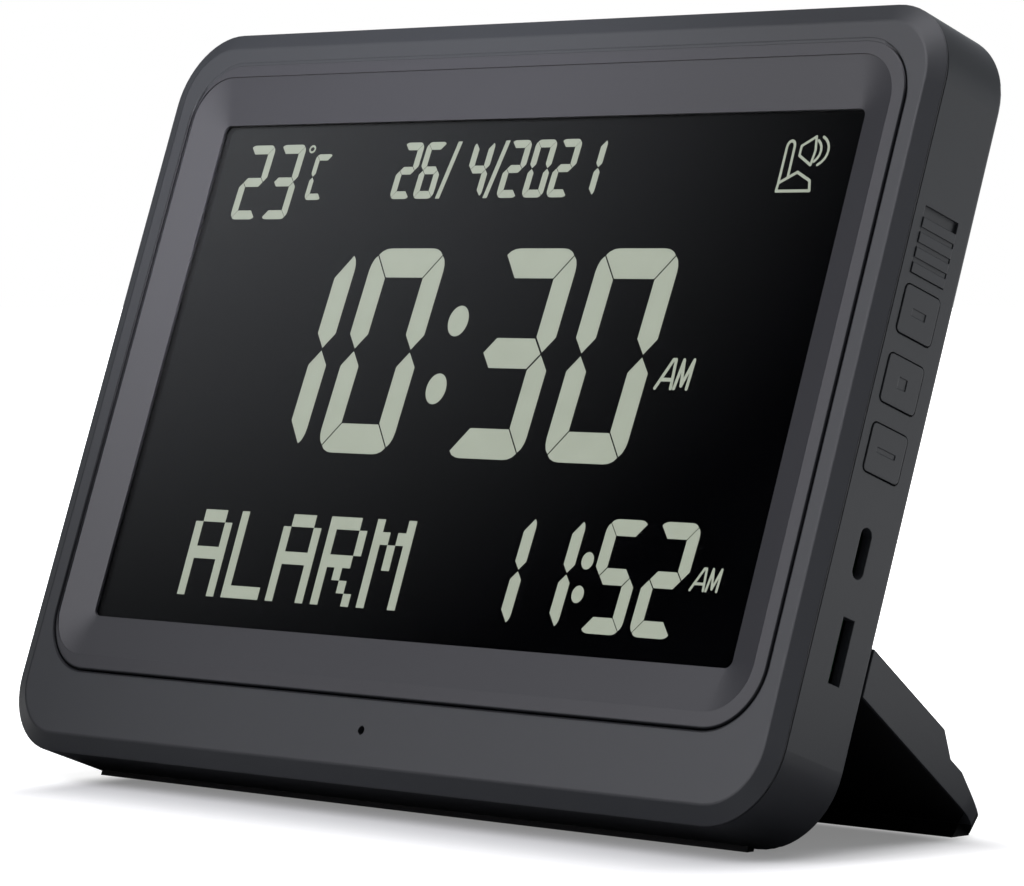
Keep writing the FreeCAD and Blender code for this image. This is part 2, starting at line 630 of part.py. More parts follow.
def cut_away(base, tool):
    cut = doc.addObject("Part::Cut", "cut")
    cut.Base = base
    cut.Tool = tool
    return cut


def fused(shapes):
    fuse = doc.addObject("Part::MultiFuse", "fuse")
    fuse.Shapes = shapes
    return fuse


def group(label, members, frame=CASE):
    """Separate solids that share one node."""
    compound = doc.addObject("Part::Compound", label)
    compound.Label = label
    compound.Links = members
    place(compound, frame)
    nodes.append(compound)
    return compound


def screw(x, y, seat, radius, head_radius, length):
    """A cross-head screw whose head lies below its seat and whose shank points to the front."""
    head = cylinder(x, y, seat - S.head_height, head_radius, S.head_height)
    shank = cylinder(x, y, seat, radius, length)
    slot_width = head_radius * 0.3
    slot_length = head_radius * 1.2
    slot_depth = S.head_height * 0.55
    low = seat - S.head_height
    across = box(x - slot_length / 2, y - slot_width / 2, low, slot_length, slot_width, slot_depth)
    upright = box(x - slot_width / 2, y - slot_length / 2, low, slot_width, slot_length, slot_depth)
    return cut_away(fused([head, shank]), fused([across, upright]))


def screw_from_front(x, y, seat, radius, head_radius, length):
    """A plain screw whose head lies above its seat and whose shank points to the back."""
    head = cylinder(x, y, seat, head_radius, S.head_height)
    shank = cylinder(x, y, seat - length, radius, length)
    return fused([head, shank])


# ---------------------------------------------------------------- front of the case
def case_outline(body, height, inset=ZERO):
    """The case's outline at a height, moved inwards."""
    sketch = new_sketch(body, "XY_Plane", (ZERO, ZERO, height))
    draw_rectangle(sketch, inset - HALF, inset, S.case_width - 2 * inset, S.case_height - 2 * inset,
                   S.case_corner - inset)
    return sketch


def groove_rectangle(body, height, inset):
    """The bezel groove's outline at a height, moved inwards."""
    sketch = new_sketch(body, "XY_Plane", (ZERO, ZERO, height))
    side = S.side_border + inset
    draw_rectangle(sketch, side - HALF, S.chin_height + inset, S.case_width - 2 * side,
                   S.case_height - S.chin_height - S.top_border - 2 * inset, S.groove_corner - inset)
    return sketch


def make_front_frame():
    """Chamfered frame with a wide chin; its plate nests in the rear cover."""
    body = new_body("front_frame")
    chamfer_start = S.case_depth - S.chamfer_depth
    extrude("Pad", body, case_outline(body, SEAM), chamfer_start - SEAM)
    loft("AdditiveLoft", body, [case_outline(body, chamfer_start),
                                case_outline(body, S.case_depth, S.chamfer_width)])
    extrude("Pad", body, case_outline(body, PLATE_BACK, S.wall + S.nest_gap), SEAM - PLATE_BACK)
    extrude("Pocket", body, groove_rectangle(body, PLATE_BACK, S.ledge_width), S.frame_plate,
            reversed_way=True)
    extrude("Pocket", body, groove_rectangle(body, BEZEL_BACK, ZERO), S.bezel_thickness,
            reversed_way=True)
    for x, y in CASE_SCREWS:
        add_disc(body, x, y, S.boss_meeting, PLATE_BACK, S.frame_boss_radius)
        cut_disc(body, x, y, S.boss_meeting, S.boss_meeting + S.case_screw_reach,
                 S.case_screw_radius + S.screw_play)
    for x, y in HOLDER_SCREWS:
        add_disc(body, x, y, HOLDER_EAR_FRONT, PLATE_BACK, S.post_radius)
        cut_disc(body, x, y, HOLDER_EAR_FRONT, HOLDER_EAR_FRONT + S.small_screw_reach,
                 S.small_screw_radius + S.screw_play)
    add_disc(body, ZERO, S.pinhole_height, S.board_front + S.layer_gap, PLATE_BACK, S.sensor_tube)
    cut_disc(body, ZERO, S.pinhole_height, S.board_front, PLATE_BACK, S.sensor_bore)
    cut_disc(body, ZERO, S.pinhole_height, PLATE_BACK, S.case_depth, S.pinhole_radius)
    rebate_half = HALF - S.side_border + S.groove_bevel
    high_enough = S.pinhole_height + 2 * S.pinhole_radius
    dress("Chamfer", body, S.groove_bevel,
          lambda edge: level_at(S.case_depth, rebate_half)(edge) and edge.YMin > high_enough.value)
    return body


def make_display_bezel():
    """Ring that slopes down to the display window."""
    body = new_body("display_bezel")
    extrude("Pad", body, groove_rectangle(body, BEZEL_BACK, S.groove_gap), S.bezel_thickness)
    dress("Chamfer", body, S.groove_bevel, level_at(S.case_depth))
    window_floor = S.case_depth - S.window_recess
    window = new_sketch(body, "XY_Plane", (ZERO, ZERO, window_floor))
    draw_rectangle(window, -WINDOW_HALF, S.window_bottom, 2 * WINDOW_HALF, WINDOW_TOP - S.window_bottom,
                   S.window_corner)
    slope_start = S.case_depth - S.lip_step
    slope = new_sketch(body, "XY_Plane", (ZERO, ZERO, slope_start))
    draw_rectangle(slope, SLOPE_LEFT, SLOPE_BOTTOM, SLOPE_RIGHT - SLOPE_LEFT, SLOPE_TOP - SLOPE_BOTTOM,
                   S.lip_corner)
    loft("SubtractiveLoft", body, [window, slope])
    cut_plate(body, SLOPE_LEFT, SLOPE_BOTTOM, SLOPE_RIGHT, SLOPE_TOP, slope_start, S.case_depth,
              S.lip_corner)
    cut_plate(body, -WINDOW_HALF, S.window_bottom, WINDOW_HALF, WINDOW_TOP, BEZEL_BACK, window_floor,
              S.window_corner)
    return body


# ---------------------------------------------------------------- display
def make_display():
    """Lens, glass, light guide, reflector and LED strip, from the front backwards."""
    lens = new_body("display_lens")
    extrude("Pad", lens, groove_rectangle(lens, LENS_BACK, S.ledge_width + S.lens_gap), S.lens_thickness)

    glass = new_body("lcd_panel")
    add_plate(glass, -GLASS_HALF, FRONT_GLASS_BOTTOM, GLASS_HALF, GLASS_TOP,
              GLASS_FRONT - S.glass_sheet, GLASS_FRONT)
    add_plate(glass, -GLASS_HALF, REAR_GLASS_BOTTOM, GLASS_HALF, GLASS_TOP,
              GLASS_BACK, GLASS_FRONT - S.glass_sheet)

    guide_half = WINDOW_HALF + S.guide_border
    guide_bottom = S.window_bottom - S.guide_border
    guide_top = WINDOW_TOP + S.guide_border
    guide = new_body("light_guide")
    add_plate(guide, -guide_half, guide_bottom, guide_half, guide_top, GUIDE_BACK, GUIDE_FRONT)
    reflector = new_body("reflector_sheet")
    add_plate(reflector, -guide_half, guide_bottom, guide_half, guide_top,
              REFLECTOR_BACK, GUIDE_BACK - S.layer_gap)

    strip_right = -guide_half - S.layer_gap - S.led_height
    strip = new_body("backlight_strip")
    add_plate(strip, strip_right - S.strip_thickness, guide_bottom, strip_right, guide_top,
              GUIDE_BACK, GUIDE_FRONT)
    pitch = (guide_top - guide_bottom) / S.led_count
    leds = [box(strip_right, guide_bottom + pitch * (index + 0.5) - S.led_length / 2,
                GUIDE_BACK + S.guide_thickness * 0.1, S.led_height, S.led_length, S.guide_thickness * 0.8)
            for index in range(int(S.led_count.value))]
    group("backlight_leds", leds)


def make_lcd_holder():
    """White tray that presses the display's layers against the lens."""
    body = new_body("lcd_holder")
    holder_front = LENS_BACK - S.layer_gap
    add_plate(body, -HOLDER_HALF, HOLDER_BOTTOM, HOLDER_HALF, HOLDER_TOP, HOLDER_BACK, holder_front)
    pocket_half = GLASS_HALF + S.holder_gap
    cut_plate(body, -pocket_half, FRONT_GLASS_BOTTOM - S.holder_gap, pocket_half, GLASS_TOP + S.holder_gap,
              HOLDER_BACK + S.holder_back, holder_front)
    cut_plate(body, -WINDOW_HALF + S.glass_border, S.window_bottom + S.glass_border,
              WINDOW_HALF - S.glass_border, WINDOW_TOP - S.glass_border,
              HOLDER_BACK, HOLDER_BACK + S.holder_back)
    strip_half = S.strip_contact_width / 2 + S.holder_gap
    strip_middle = (FRONT_GLASS_BOTTOM + REAR_GLASS_BOTTOM) / 2
    strip_left = S.board_left + S.post_radius
    cut_plate(body, strip_left - S.holder_gap, strip_middle - strip_half,
              strip_left + S.strip_contact_length + S.holder_gap, strip_middle + strip_half,
              HOLDER_BACK, HOLDER_BACK + S.holder_back)
    half_ear = S.holder_ear_width / 2
    for x, y in HOLDER_SCREWS:
        above = y.value > HOLDER_TOP.value
        low, high = (HOLDER_TOP, y + half_ear) if above else (y - half_ear, HOLDER_BOTTOM)
        add_plate(body, x - half_ear, low, x + half_ear, high, HOLDER_BACK, HOLDER_EAR_FRONT)
        cut_disc(body, x, y, HOLDER_BACK, HOLDER_EAR_FRONT, S.small_screw_radius + S.hole_play)
    group("holder_screws", [screw(x, y, HOLDER_BACK, S.small_screw_radius, S.small_screw_head,
                                  S.holder_ear_thickness + S.small_screw_reach - S.layer_gap)
                            for x, y in HOLDER_SCREWS])

    strip = new_body("contact_strip")
    add_plate(strip, strip_left, strip_middle - S.strip_contact_width / 2,
              strip_left + S.strip_contact_length, strip_middle + S.strip_contact_width / 2,
              S.board_front, GLASS_FRONT - S.glass_sheet)


# ---------------------------------------------------------------- main board
def make_main_board():
    """Board with the two inlets on its right edge, the chips and the temperature sensor."""
    body = new_body("main_board")
    add_plate(body, S.board_left, S.board_bottom, BOARD_RIGHT, S.board_top, BOARD_BACK, S.board_front)
    notch = S.boss_radius + S.board_notch_gap
    cut_plate(body, BOSS_X - notch, S.board_bottom - PAST, BOARD_RIGHT + PAST, S.boss_inset_y + notch,
              BOARD_BACK, S.board_front)
    for x, y in BOARD_SCREWS:
        cut_disc(body, x, y, BOARD_BACK, S.board_front, S.small_screw_radius + S.hole_play)
    group("board_screws", [screw_from_front(x, y, S.board_front, S.small_screw_radius, S.small_screw_head,
                                            S.board_thickness + S.small_screw_reach)
                           for x, y in BOARD_SCREWS])

    for label in ("control_chip", "sound_chip", "memory_chip"):
        chip = new_body(label)
        left, bottom = S.board_left + named(f"{label}_left"), S.board_bottom + named(f"{label}_low")
        add_plate(chip, left, bottom, left + named(f"{label}_width"), bottom + named(f"{label}_length"),
                  S.board_front, S.board_front + named(f"{label}_height"))
    crystal = new_body("quartz_crystal")
    crystal_left, crystal_bottom = S.board_left + S.crystal_across, S.board_bottom + S.crystal_up
    add_plate(crystal, crystal_left, crystal_bottom, crystal_left + S.crystal_length,
              crystal_bottom + S.crystal_width, BOARD_BACK - S.crystal_height, BOARD_BACK, S.crystal_corner)

    bead_front = S.board_front + S.sensor_length
    sensor = fused([cylinder(ZERO, S.pinhole_height, S.board_front, S.sensor_radius, S.sensor_length),
                    primitive("Sphere", (ZERO, S.pinhole_height, bead_front), {"Radius": S.sensor_radius})])
    sensor.Label = "temperature_sensor"
    place(sensor, CASE)
    nodes.append(sensor)


def make_inlets():
    """USB-C socket and card socket, standing on the front face of the main board."""
    mouth = INNER_SIDE - S.board_edge_gap / 2
    shell_middle = S.board_front + S.usb_shell_width / 2
    shell = new_body("usb_socket")
    shell_inside = mouth - S.usb_shell_depth
    add_side_block(shell, S.usb_height, shell_middle, S.usb_shell_length, S.usb_shell_width,
                   shell_inside, mouth, S.usb_shell_corner)
    cut_side_block(shell, S.usb_height, shell_middle, S.usb_shell_length - 2 * S.usb_shell_wall,
                   S.usb_shell_width - 2 * S.usb_shell_wall, shell_inside + S.usb_shell_wall, mouth,
                   S.usb_shell_corner - S.usb_shell_wall)
    tongue = new_body("usb_tongue")
    add_side_block(tongue, S.usb_height, shell_middle, S.usb_tongue_width, S.usb_tongue_thickness,
                   shell_inside + S.usb_shell_wall, mouth - S.usb_shell_wall)

    card_middle = S.board_front + S.card_socket_thickness / 2
    card = new_body("card_socket")
    card_inside = mouth - S.card_socket_depth
    add_side_block(card, S.card_height, card_middle, S.card_socket_length, S.card_socket_thickness,
                   card_inside, mouth)
    cut_side_block(card, S.card_height, card_middle, S.card_slot_length, S.card_mouth,
                   card_inside + S.wall, mouth)


# ---------------------------------------------------------------- side controls
def make_key_board():
    """Upright board behind the side controls, with its switches."""
    body = new_body("key_board")
    low = S.wall + S.key_board_gap
    high = PLATE_BACK - S.key_board_gap
    add_side_block(body, (S.key_board_low + S.key_board_high) / 2, (low + high) / 2,
                   S.key_board_high - S.key_board_low, high - low, KEY_BOARD_IN, KEY_BOARD_OUT)

    plug = new_body("board_plug")
    add_plate(plug, KEY_BOARD_IN - S.plug_depth, S.key_board_low - S.plug_length / 2, KEY_BOARD_IN,
              S.key_board_low + S.plug_length / 2, S.board_front, S.board_front + S.plug_height)

    switches = []
    for name, middle in zip(KEY_NAMES, KEY_HEIGHTS):
        block = box(KEY_BOARD_OUT, middle - S.switch_size / 2, S.side_middle - S.switch_size / 2,
                    S.switch_height, S.switch_size, S.switch_size)
        depth = S.plunger_in + S.key_travel + S.touch_gap
        bore = cylinder(SWITCH_TOP - depth, middle, S.side_middle, S.plunger_radius + S.plunger_play, depth)
        bore.Placement.Rotation = FreeCAD.Rotation(FreeCAD.Vector(0, 1, 0), 90)
        switches.append(cut_away(block, bore))
        plunger = new_body(f"{name}_plunger")
        side_disc("Pad", plunger, middle, S.side_middle, S.plunger_radius, SWITCH_TOP - S.plunger_in,
                  PLUNGER_TIP)
    group("push_switches", switches)

    slide = new_body("slide_switch")
    slide_top = KEY_BOARD_OUT + S.slide_switch_height
    add_side_block(slide, TRACK_MIDDLE, S.side_middle, S.slide_switch_length, S.slide_switch_width,
                   KEY_BOARD_OUT, slide_top)
    cut_side_block(slide, TRACK_MIDDLE, S.side_middle, S.slide_lever + S.slider_travel + 2 * S.slider_play,
                   S.slide_lever + 2 * S.slider_play, slide_top - S.slide_lever, slide_top)
    lever = new_body("slide_lever")
    add_side_block(lever, KNOB_MIDDLE, S.side_middle, S.slide_lever, S.slide_lever,
                   slide_top - S.slide_lever + S.touch_gap, INNER_SIDE)


def make_key(name, middle):
    """A side key: head in its opening, flange behind the wall, nub on the switch."""
    body = new_body(f"{name}_key")
    add_side_block(body, middle, S.side_middle, S.key_length + 2 * S.key_flange,
                   S.key_width + 2 * S.key_flange_side, FLANGE_IN, FLANGE_OUT)
    face = HALF + S.key_proud
    add_side_block(body, middle, S.side_middle, S.key_length - 2 * S.key_gap, S.key_width - 2 * S.key_gap,
                   FLANGE_OUT, face, S.key_corner - S.key_gap)
    side_disc("Pad", body, middle, S.side_middle, S.key_nub, PLUNGER_TIP + S.touch_gap, FLANGE_IN)
    cut_side_block(body, middle, S.side_middle, named(f"{name}_mark_length"), named(f"{name}_mark_width"),
                   face - S.mark_depth, face)
    return body


def make_power_slider():
    """Ribbed knob in a shallow track; its stem is pushed on the lever of the slide switch."""
    body = new_body("power_slider")
    track_floor = HALF - S.slider_track_depth
    plate_in = track_floor + S.slider_play
    plate_out = HALF - S.slider_play
    knob_width = S.slider_track_width - 2 * S.slider_play
    add_side_block(body, KNOB_MIDDLE, S.side_middle, S.slider_length, knob_width, plate_in, plate_out)
    stem_in = KEY_BOARD_OUT + S.slide_switch_height + S.touch_gap
    add_side_block(body, KNOB_MIDDLE, S.side_middle, S.slider_stem, S.slider_stem, stem_in, plate_in)
    cut_side_block(body, KNOB_MIDDLE, S.side_middle, S.slide_lever + 2 * S.touch_gap,
                   S.slide_lever + 2 * S.touch_gap, stem_in, INNER_SIDE + S.touch_gap)
    rib_pitch = (S.slider_length - S.slider_rib_width) / (S.slider_rib_count - 1)
    for index in range(int(S.slider_rib_count.value)):
        along = KNOB_MIDDLE - (S.slider_length - S.slider_rib_width) / 2 + rib_pitch * index
        add_side_block(body, along, S.side_middle, S.slider_rib_width, knob_width,
                       plate_out, plate_out + S.slider_rib_height)
    return body


# ---------------------------------------------------------------- cell and speaker
def make_cell():
    """Flat rechargeable cell on its tape."""
    tape = new_body("cell_tape")
    top = S.cell_bottom + S.cell_height
    add_plate(tape, CELL_LEFT + S.cell_corner, S.cell_bottom + S.cell_corner, CELL_RIGHT - S.cell_corner,
              top - S.cell_corner, S.wall, CELL_BACK)
    body = new_body("battery_cell")
    add_plate(body, CELL_LEFT, S.cell_bottom, CELL_RIGHT, top, CELL_BACK, CELL_BACK + S.cell_thickness,
              S.cell_corner)


def turned_piece(label, profile):
    """A piece turned about the speaker's axis; the profile is radius and height."""
    body = new_body(label)
    sketch = new_sketch(body, "YZ_Plane", (SPEAKER_Y, ZERO, ZERO))
    draw_polygon(sketch, profile)
    feature = body.newObject("PartDesign::Revolution", f"{label}_turn")
    feature.Profile = sketch
    feature.ReferenceAxis = (sketch, ["V_Axis"])
    feature.Angle = 360
    doc.recompute()
    return body


def make_speaker():
    """Round speaker behind the grille, its cone facing the rear wall."""
    rim = GASKET_FRONT + S.speaker_sheet
    floor = rim + S.speaker_cup_depth
    cup_in = S.speaker_cup - S.speaker_sheet
    turned_piece("speaker_gasket", [(S.speaker_radius - S.gasket_width, S.wall), (S.speaker_radius, S.wall),
                                    (S.speaker_radius, GASKET_FRONT),
                                    (S.speaker_radius - S.gasket_width, GASKET_FRONT)])
    turned_piece("speaker_basket", [(cup_in, GASKET_FRONT), (S.speaker_radius, GASKET_FRONT),
                                    (S.speaker_radius, rim), (S.speaker_cup, rim), (S.speaker_cup, floor),
                                    (ZERO, floor), (ZERO, floor - S.speaker_sheet),
                                    (cup_in, floor - S.speaker_sheet)])
    turned_piece("speaker_magnet", [(ZERO, floor), (S.magnet_radius, floor),
                                    (S.magnet_radius, floor + S.magnet_height),
                                    (ZERO, floor + S.magnet_height)])
    cone_edge = cup_in - S.touch_gap
    cone_deep = floor - S.speaker_sheet - S.touch_gap
    turned_piece("speaker_cone", [(cone_edge, GASKET_FRONT), (cone_edge, GASKET_FRONT + S.cone_sheet),
                                  (S.cone_neck + S.cone_sheet, cone_deep), (S.cone_neck, cone_deep),
                                  (S.cone_neck, cone_deep - S.cone_sheet),
                                  (cone_edge - S.cone_sheet, GASKET_FRONT)])


def make_lead(label, route):
    """A round lead along straight runs joined by tangent arcs."""
    points = [FreeCAD.Vector(*(Size.of(size).value for size in point)) for point in route]
    edges = []
    start = points[0]
    for before, corner, after in zip(points, points[1:], points[2:]):
        run_in, run_out = (corner - before), (after - corner)
        turn = run_in.getAngle(run_out)
        bend = 0.45 * min(run_in.Length, run_out.Length) / math.tan(turn / 2)
        reach = bend * math.tan(turn / 2)
        inward, outward = run_in.normalize(), run_out.normalize()
        arc_start, arc_end = corner - inward * reach, corner + outward * reach
        middle = (outward - inward).normalize() * (bend / math.cos(turn / 2) - bend) + corner
        edges.append(Part.LineSegment(start, arc_start).toShape())
        edges.append(Part.Arc(arc_start, middle, arc_end).toShape())
        start = arc_end
    edges.append(Part.LineSegment(start, points[-1]).toShape())
    path = Part.Wire(edges)
    ring = Part.Wire(Part.makeCircle(S.lead_radius.value, points[0], points[1] - points[0]))
    lead = doc.addObject("Part::Feature", label)
    lead.Label = label
    lead.Shape = path.makePipeShell([ring], True, False)
    place(lead, CASE)
    nodes.append(lead)


def make_leads():
    """Leads from the cell and from the speaker to the main board."""
    over_board = S.board_front + S.lead_radius + S.layer_gap
    across = S.board_left - CELL_RIGHT
    cell_middle = CELL_BACK + S.cell_thickness / 2
    lead_y = S.cell_bottom + S.cell_height / 3
    make_lead("battery_lead", [(CELL_RIGHT, lead_y, cell_middle),
                               (S.board_left - across * 0.55, lead_y, cell_middle),
                               (S.board_left - across * 0.17, lead_y - S.lead_drop, over_board),
                               (S.board_left + S.lead_reach, lead_y - S.lead_drop, over_board)])
    rim = GASKET_FRONT + S.speaker_sheet
    beside = S.speaker_cup + S.lead_radius + S.touch_gap
    below = SPEAKER_Y - beside
    drop = below - S.board_top
    make_lead("speaker_lead", [(ZERO, below, rim + S.touch_gap),
                               (ZERO, below, rim + S.speaker_lead_rise + S.touch_gap),
                               (S.speaker_lead_side / 3, below - drop * 0.44, over_board + 0.2),
                               (S.speaker_lead_side * 0.9, below - drop * 0.94, over_board + 0.1),
                               (S.speaker_lead_side, below - drop * 1.25, over_board)])


# ---------------------------------------------------------------- rear cover
def make_rear_cover():
    """Deep tray with the side walls, bosses, grille, control openings and hinge ears."""
    body = new_body("rear_cover")
    extrude("Pad", body, case_outline(body, ZERO), COVER_TOP)
    dress("Fillet", body, S.rear_rounding, level_at(ZERO))
    extrude("Pocket", body, case_outline(body, S.wall, S.wall), COVER_TOP - S.wall, reversed_way=True)

    for x, y in CASE_SCREWS:
        add_disc(body, x, y, S.wall, S.boss_meeting - S.layer_gap, S.boss_radius)
        cut_disc(body, x, y, ZERO, S.well_depth, S.well_radius)
        cut_disc(body, x, y, S.well_depth, S.boss_meeting, S.case_screw_radius + S.hole_play)
    for x, y in BOARD_SCREWS:
        add_disc(body, x, y, S.wall, BOARD_BACK, S.post_radius)
        cut_disc(body, x, y, BOARD_BACK - S.small_screw_reach, BOARD_BACK,
                 S.small_screw_radius + S.screw_play)
    group("case_screws", [screw(x, y, S.well_depth, S.case_screw_radius, S.case_screw_head,
                                S.boss_meeting - S.well_depth + S.case_screw_reach - S.layer_gap)
                          for x, y in CASE_SCREWS])

    add_rails(body)
    add_cell_frame(body)
    add_speaker_seat(body)
    for middle in KEY_HEIGHTS:
        cut_side_block(body, middle, S.side_middle, S.key_length, S.key_width, INNER_SIDE - PAST,
                       HALF + PAST, S.key_corner)
    cut_side_block(body, TRACK_MIDDLE, S.side_middle, TRACK_LENGTH, S.slider_track_width,
                   HALF - S.slider_track_depth, HALF + PAST)
    cut_side_block(body, TRACK_MIDDLE, S.side_middle,
                   S.slider_stem + S.slider_travel + 2 * S.slider_play, S.slider_stem + 2 * S.slider_play,
                   INNER_SIDE - PAST, HALF)
    cut_side_block(body, S.usb_height, S.board_front + S.usb_shell_width / 2, S.usb_slot_length,
                   S.usb_slot_width, INNER_SIDE - PAST, HALF + PAST, S.usb_slot_corner)
    cut_side_block(body, S.card_height, S.board_front + S.card_socket_thickness / 2, S.card_slot_length,
                   S.card_slot_width, INNER_SIDE - PAST, HALF + PAST)
    add_hinge_ears(body)
    cut_foot_recess(body)
    return body


def add_rails(body):
    """Two slotted ribs that hold the ends of the key board."""
    left = KEY_BOARD_IN - S.rail_play - S.rail_width
    right = KEY_BOARD_OUT + S.rail_play + S.rail_width
    for low in (S.key_board_low - S.rail_play, S.key_board_high - S.rail_length + S.rail_play):
        add_plate(body, left, low, right, low + S.rail_length, S.wall, S.rail_height)
        cut_plate(body, KEY_BOARD_IN - S.rail_play, low, KEY_BOARD_OUT + S.rail_play, low + S.rail_length,
                  S.wall, S.rail_height)


def add_cell_frame(body):
    """Low rib around the cell, left open at the lead."""
    left, bottom = CELL_LEFT - S.rib_gap, S.cell_bottom - S.rib_gap
    right = CELL_RIGHT + S.rib_gap
    top = S.cell_bottom + S.cell_height + S.rib_gap
    high = S.wall + S.rib_height
    sketch = new_sketch(body, "XY_Plane", (ZERO, ZERO, S.wall))
    draw_rectangle(sketch, left - S.rib_thickness, bottom - S.rib_thickness,
                   right - left + 2 * S.rib_thickness, top - bottom + 2 * S.rib_thickness)
    draw_rectangle(sketch, left, bottom, right - left, top - bottom)
    extrude("Pad", body, sketch, high - S.wall)


def add_speaker_seat(body):
    """Ring around the speaker and the grille of small holes in the rear wall."""
    ring_in = S.speaker_radius + S.rib_gap
    sketch = new_sketch(body, "XY_Plane", (ZERO, SPEAKER_Y, S.wall))
    draw_circle(sketch, ring_in + S.rib_thickness)
    draw_circle(sketch, ring_in)
    extrude("Pad", body, sketch, S.rib_height)
    cut_disc(body, ZERO, SPEAKER_Y, ZERO, S.wall, S.grille_hole)
    for ring in range(1, int(S.grille_rings.value) + 1):
        hole = cut_disc(body, ring * S.grille_pitch, SPEAKER_Y, ZERO, S.wall, S.grille_hole)
        middle = new_sketch(body, "XY_Plane", (ZERO, SPEAKER_Y, ZERO))
        draw_circle(middle, S.grille_hole)
        pattern = body.newObject("PartDesign::PolarPattern", "grille_ring")
        pattern.Originals = [hole]
        pattern.Axis = (middle, ["N_Axis"])
        pattern.Angle = 360
        pattern.Occurrences = 6 * ring
        body.Tip = pattern
        doc.recompute()


def add_hinge_ears(body):
    """Two hinges: a pocket for the stand's knuckle between two ears, and the pin's bore."""
    pocket_radius = S.knuckle_radius + S.knuckle_gap
    housing = pocket_radius + S.housing_wall
    for middle in HINGE_SIDES:
        outwards = 1 if middle.value > 0 else -1
        add_plate(body, middle - HINGE_STATION / 2, S.hinge_height - housing, middle + HINGE_STATION / 2,
                  S.hinge_height + housing, S.wall, housing)
        side_disc("Pocket", body, S.hinge_height, ZERO, pocket_radius,
                  middle - HINGE_SLOT / 2, middle + HINGE_SLOT / 2)
        for ear in (-1, 1):
            ear_middle = middle + ear * (HINGE_SLOT + S.ear_width) / 2
            side_disc("Pad", body, S.hinge_height, ZERO, S.knuckle_radius,
                      ear_middle - S.ear_width / 2, ear_middle + S.ear_width / 2)
        # the bore runs on past the outer ear as a groove, where the pin is pushed in
        bore_middle = middle + outwards * HINGE_STATION / 2
        side_disc("Pocket", body, S.hinge_height, ZERO, S.hinge_pin + S.pin_play,
                  bore_middle - HINGE_STATION, bore_middle + HINGE_STATION)


def foot_sole(depth):
    """Height, in the case's frame, of the surface the clock stands on, at a depth."""
    return -(S.foot_lift + depth * sin(S.lean_angle)) / cos(S.lean_angle)


def cut_foot_recess(body):
    """Recess for the rubber foot in the underside."""
    sketch = new_sketch(body, "YZ_Plane", (ZERO, S.foot_from_back, ZERO))
    half = S.foot_width / 2 + S.foot_play
    draw_rectangle(sketch, -PAST, -half, S.foot_recess + PAST, 2 * half)
    extrude("Pocket", body, sketch, S.foot_length + 2 * S.foot_play, midplane=True)


def make_case_foot():
    """Rubber strip under the back edge, cut level with the surface."""
    body = new_body("case_foot")
    sketch = new_sketch(body, "YZ_Plane", (ZERO, ZERO, ZERO))
    back = S.foot_from_back - S.foot_width / 2
    front = S.foot_from_back + S.foot_width / 2
    draw_polygon(sketch, [(foot_sole(back), back), (S.foot_recess, back), (S.foot_recess, front),
                          (foot_sole(front), front)])
    extrude("Pad", body, sketch, S.foot_length, midplane=True)


# ---------------------------------------------------------------- stand
# the root face lies against the back of the case while the stand is open
def root_face(height, inset=ZERO):
    """Distance from the hinge to the stand's root face, at a height of the stand's frame."""
    return (S.stand_gap + inset - height * cos(S.stand_open)) / sin(S.stand_open)


def floor_at(height):
    """Distance from the hinge to the surface the clock stands on, at a height."""
    return (STAND_Z + height * cos(STAND_FALL)) / sin(STAND_FALL)


STAND_TOP = -S.stand_gap
STAND_INNER = -S.stand_gap - S.stand_thickness
THIN_TOP = STAND_INNER + S.stand_thin
TIP_TOP = STAND_INNER + S.stand_tip
STEP_END = S.stand_thick_length + S.stand_step_length


def trim_stand(body):
    """Rounds the outer corners in plan and bevels the side edges towards the tip."""
    frame = new_sketch(body, "XY_Plane", (ZERO, ZERO, STAND_INNER - PAST))
    beyond = S.stand_corner * 2
    draw_rectangle(frame, -HALF - PAST, -beyond - PAST, S.case_width + 2 * PAST,
                   S.stand_reach + beyond + 2 * PAST + S.tip_nose)
    draw_rectangle(frame, -HALF, -beyond, S.case_width, S.stand_reach + beyond, S.stand_corner)
    extrude("Pocket", body, frame, S.stand_thickness + 2 * PAST, reversed_way=True)
    bevel_end = S.stand_reach + 2 * PAST
    for side in (-1, 1):
        bevel = new_sketch(body, "XY_Plane", (ZERO, ZERO, THIN_TOP))
        edge, outside = side * HALF, side * (HALF + S.side_bevel_width + PAST)
        draw_polygon(bevel, [(edge, S.side_bevel_start), (outside, S.side_bevel_start),
                             (outside, bevel_end), (edge - side * S.side_bevel_width, bevel_end)])
        pocket = extrude("Pocket", body, bevel, S.stand_thin)
        bind(pocket, "TaperAngle", -(90 - S.side_bevel_slope))
        doc.recompute()


def draw_inner_plate(sketch, play=ZERO):
    """The outline of the inner plate's seat in plan, moved inwards; its outer corners are cut."""
    half = HALF - S.cheek + S.inner_plate_seat - play
    start = root_face(STAND_INNER, S.stand_skin - S.inner_plate_seat) + play
    end = S.stand_length - S.stand_skin + S.inner_plate_seat - play
    corner = S.inner_plate_corner
    draw_polygon(sketch, [(-half, start), (half, start), (half, end - corner), (half - corner, end),
                          (corner - half, end), (-half, end - corner)])


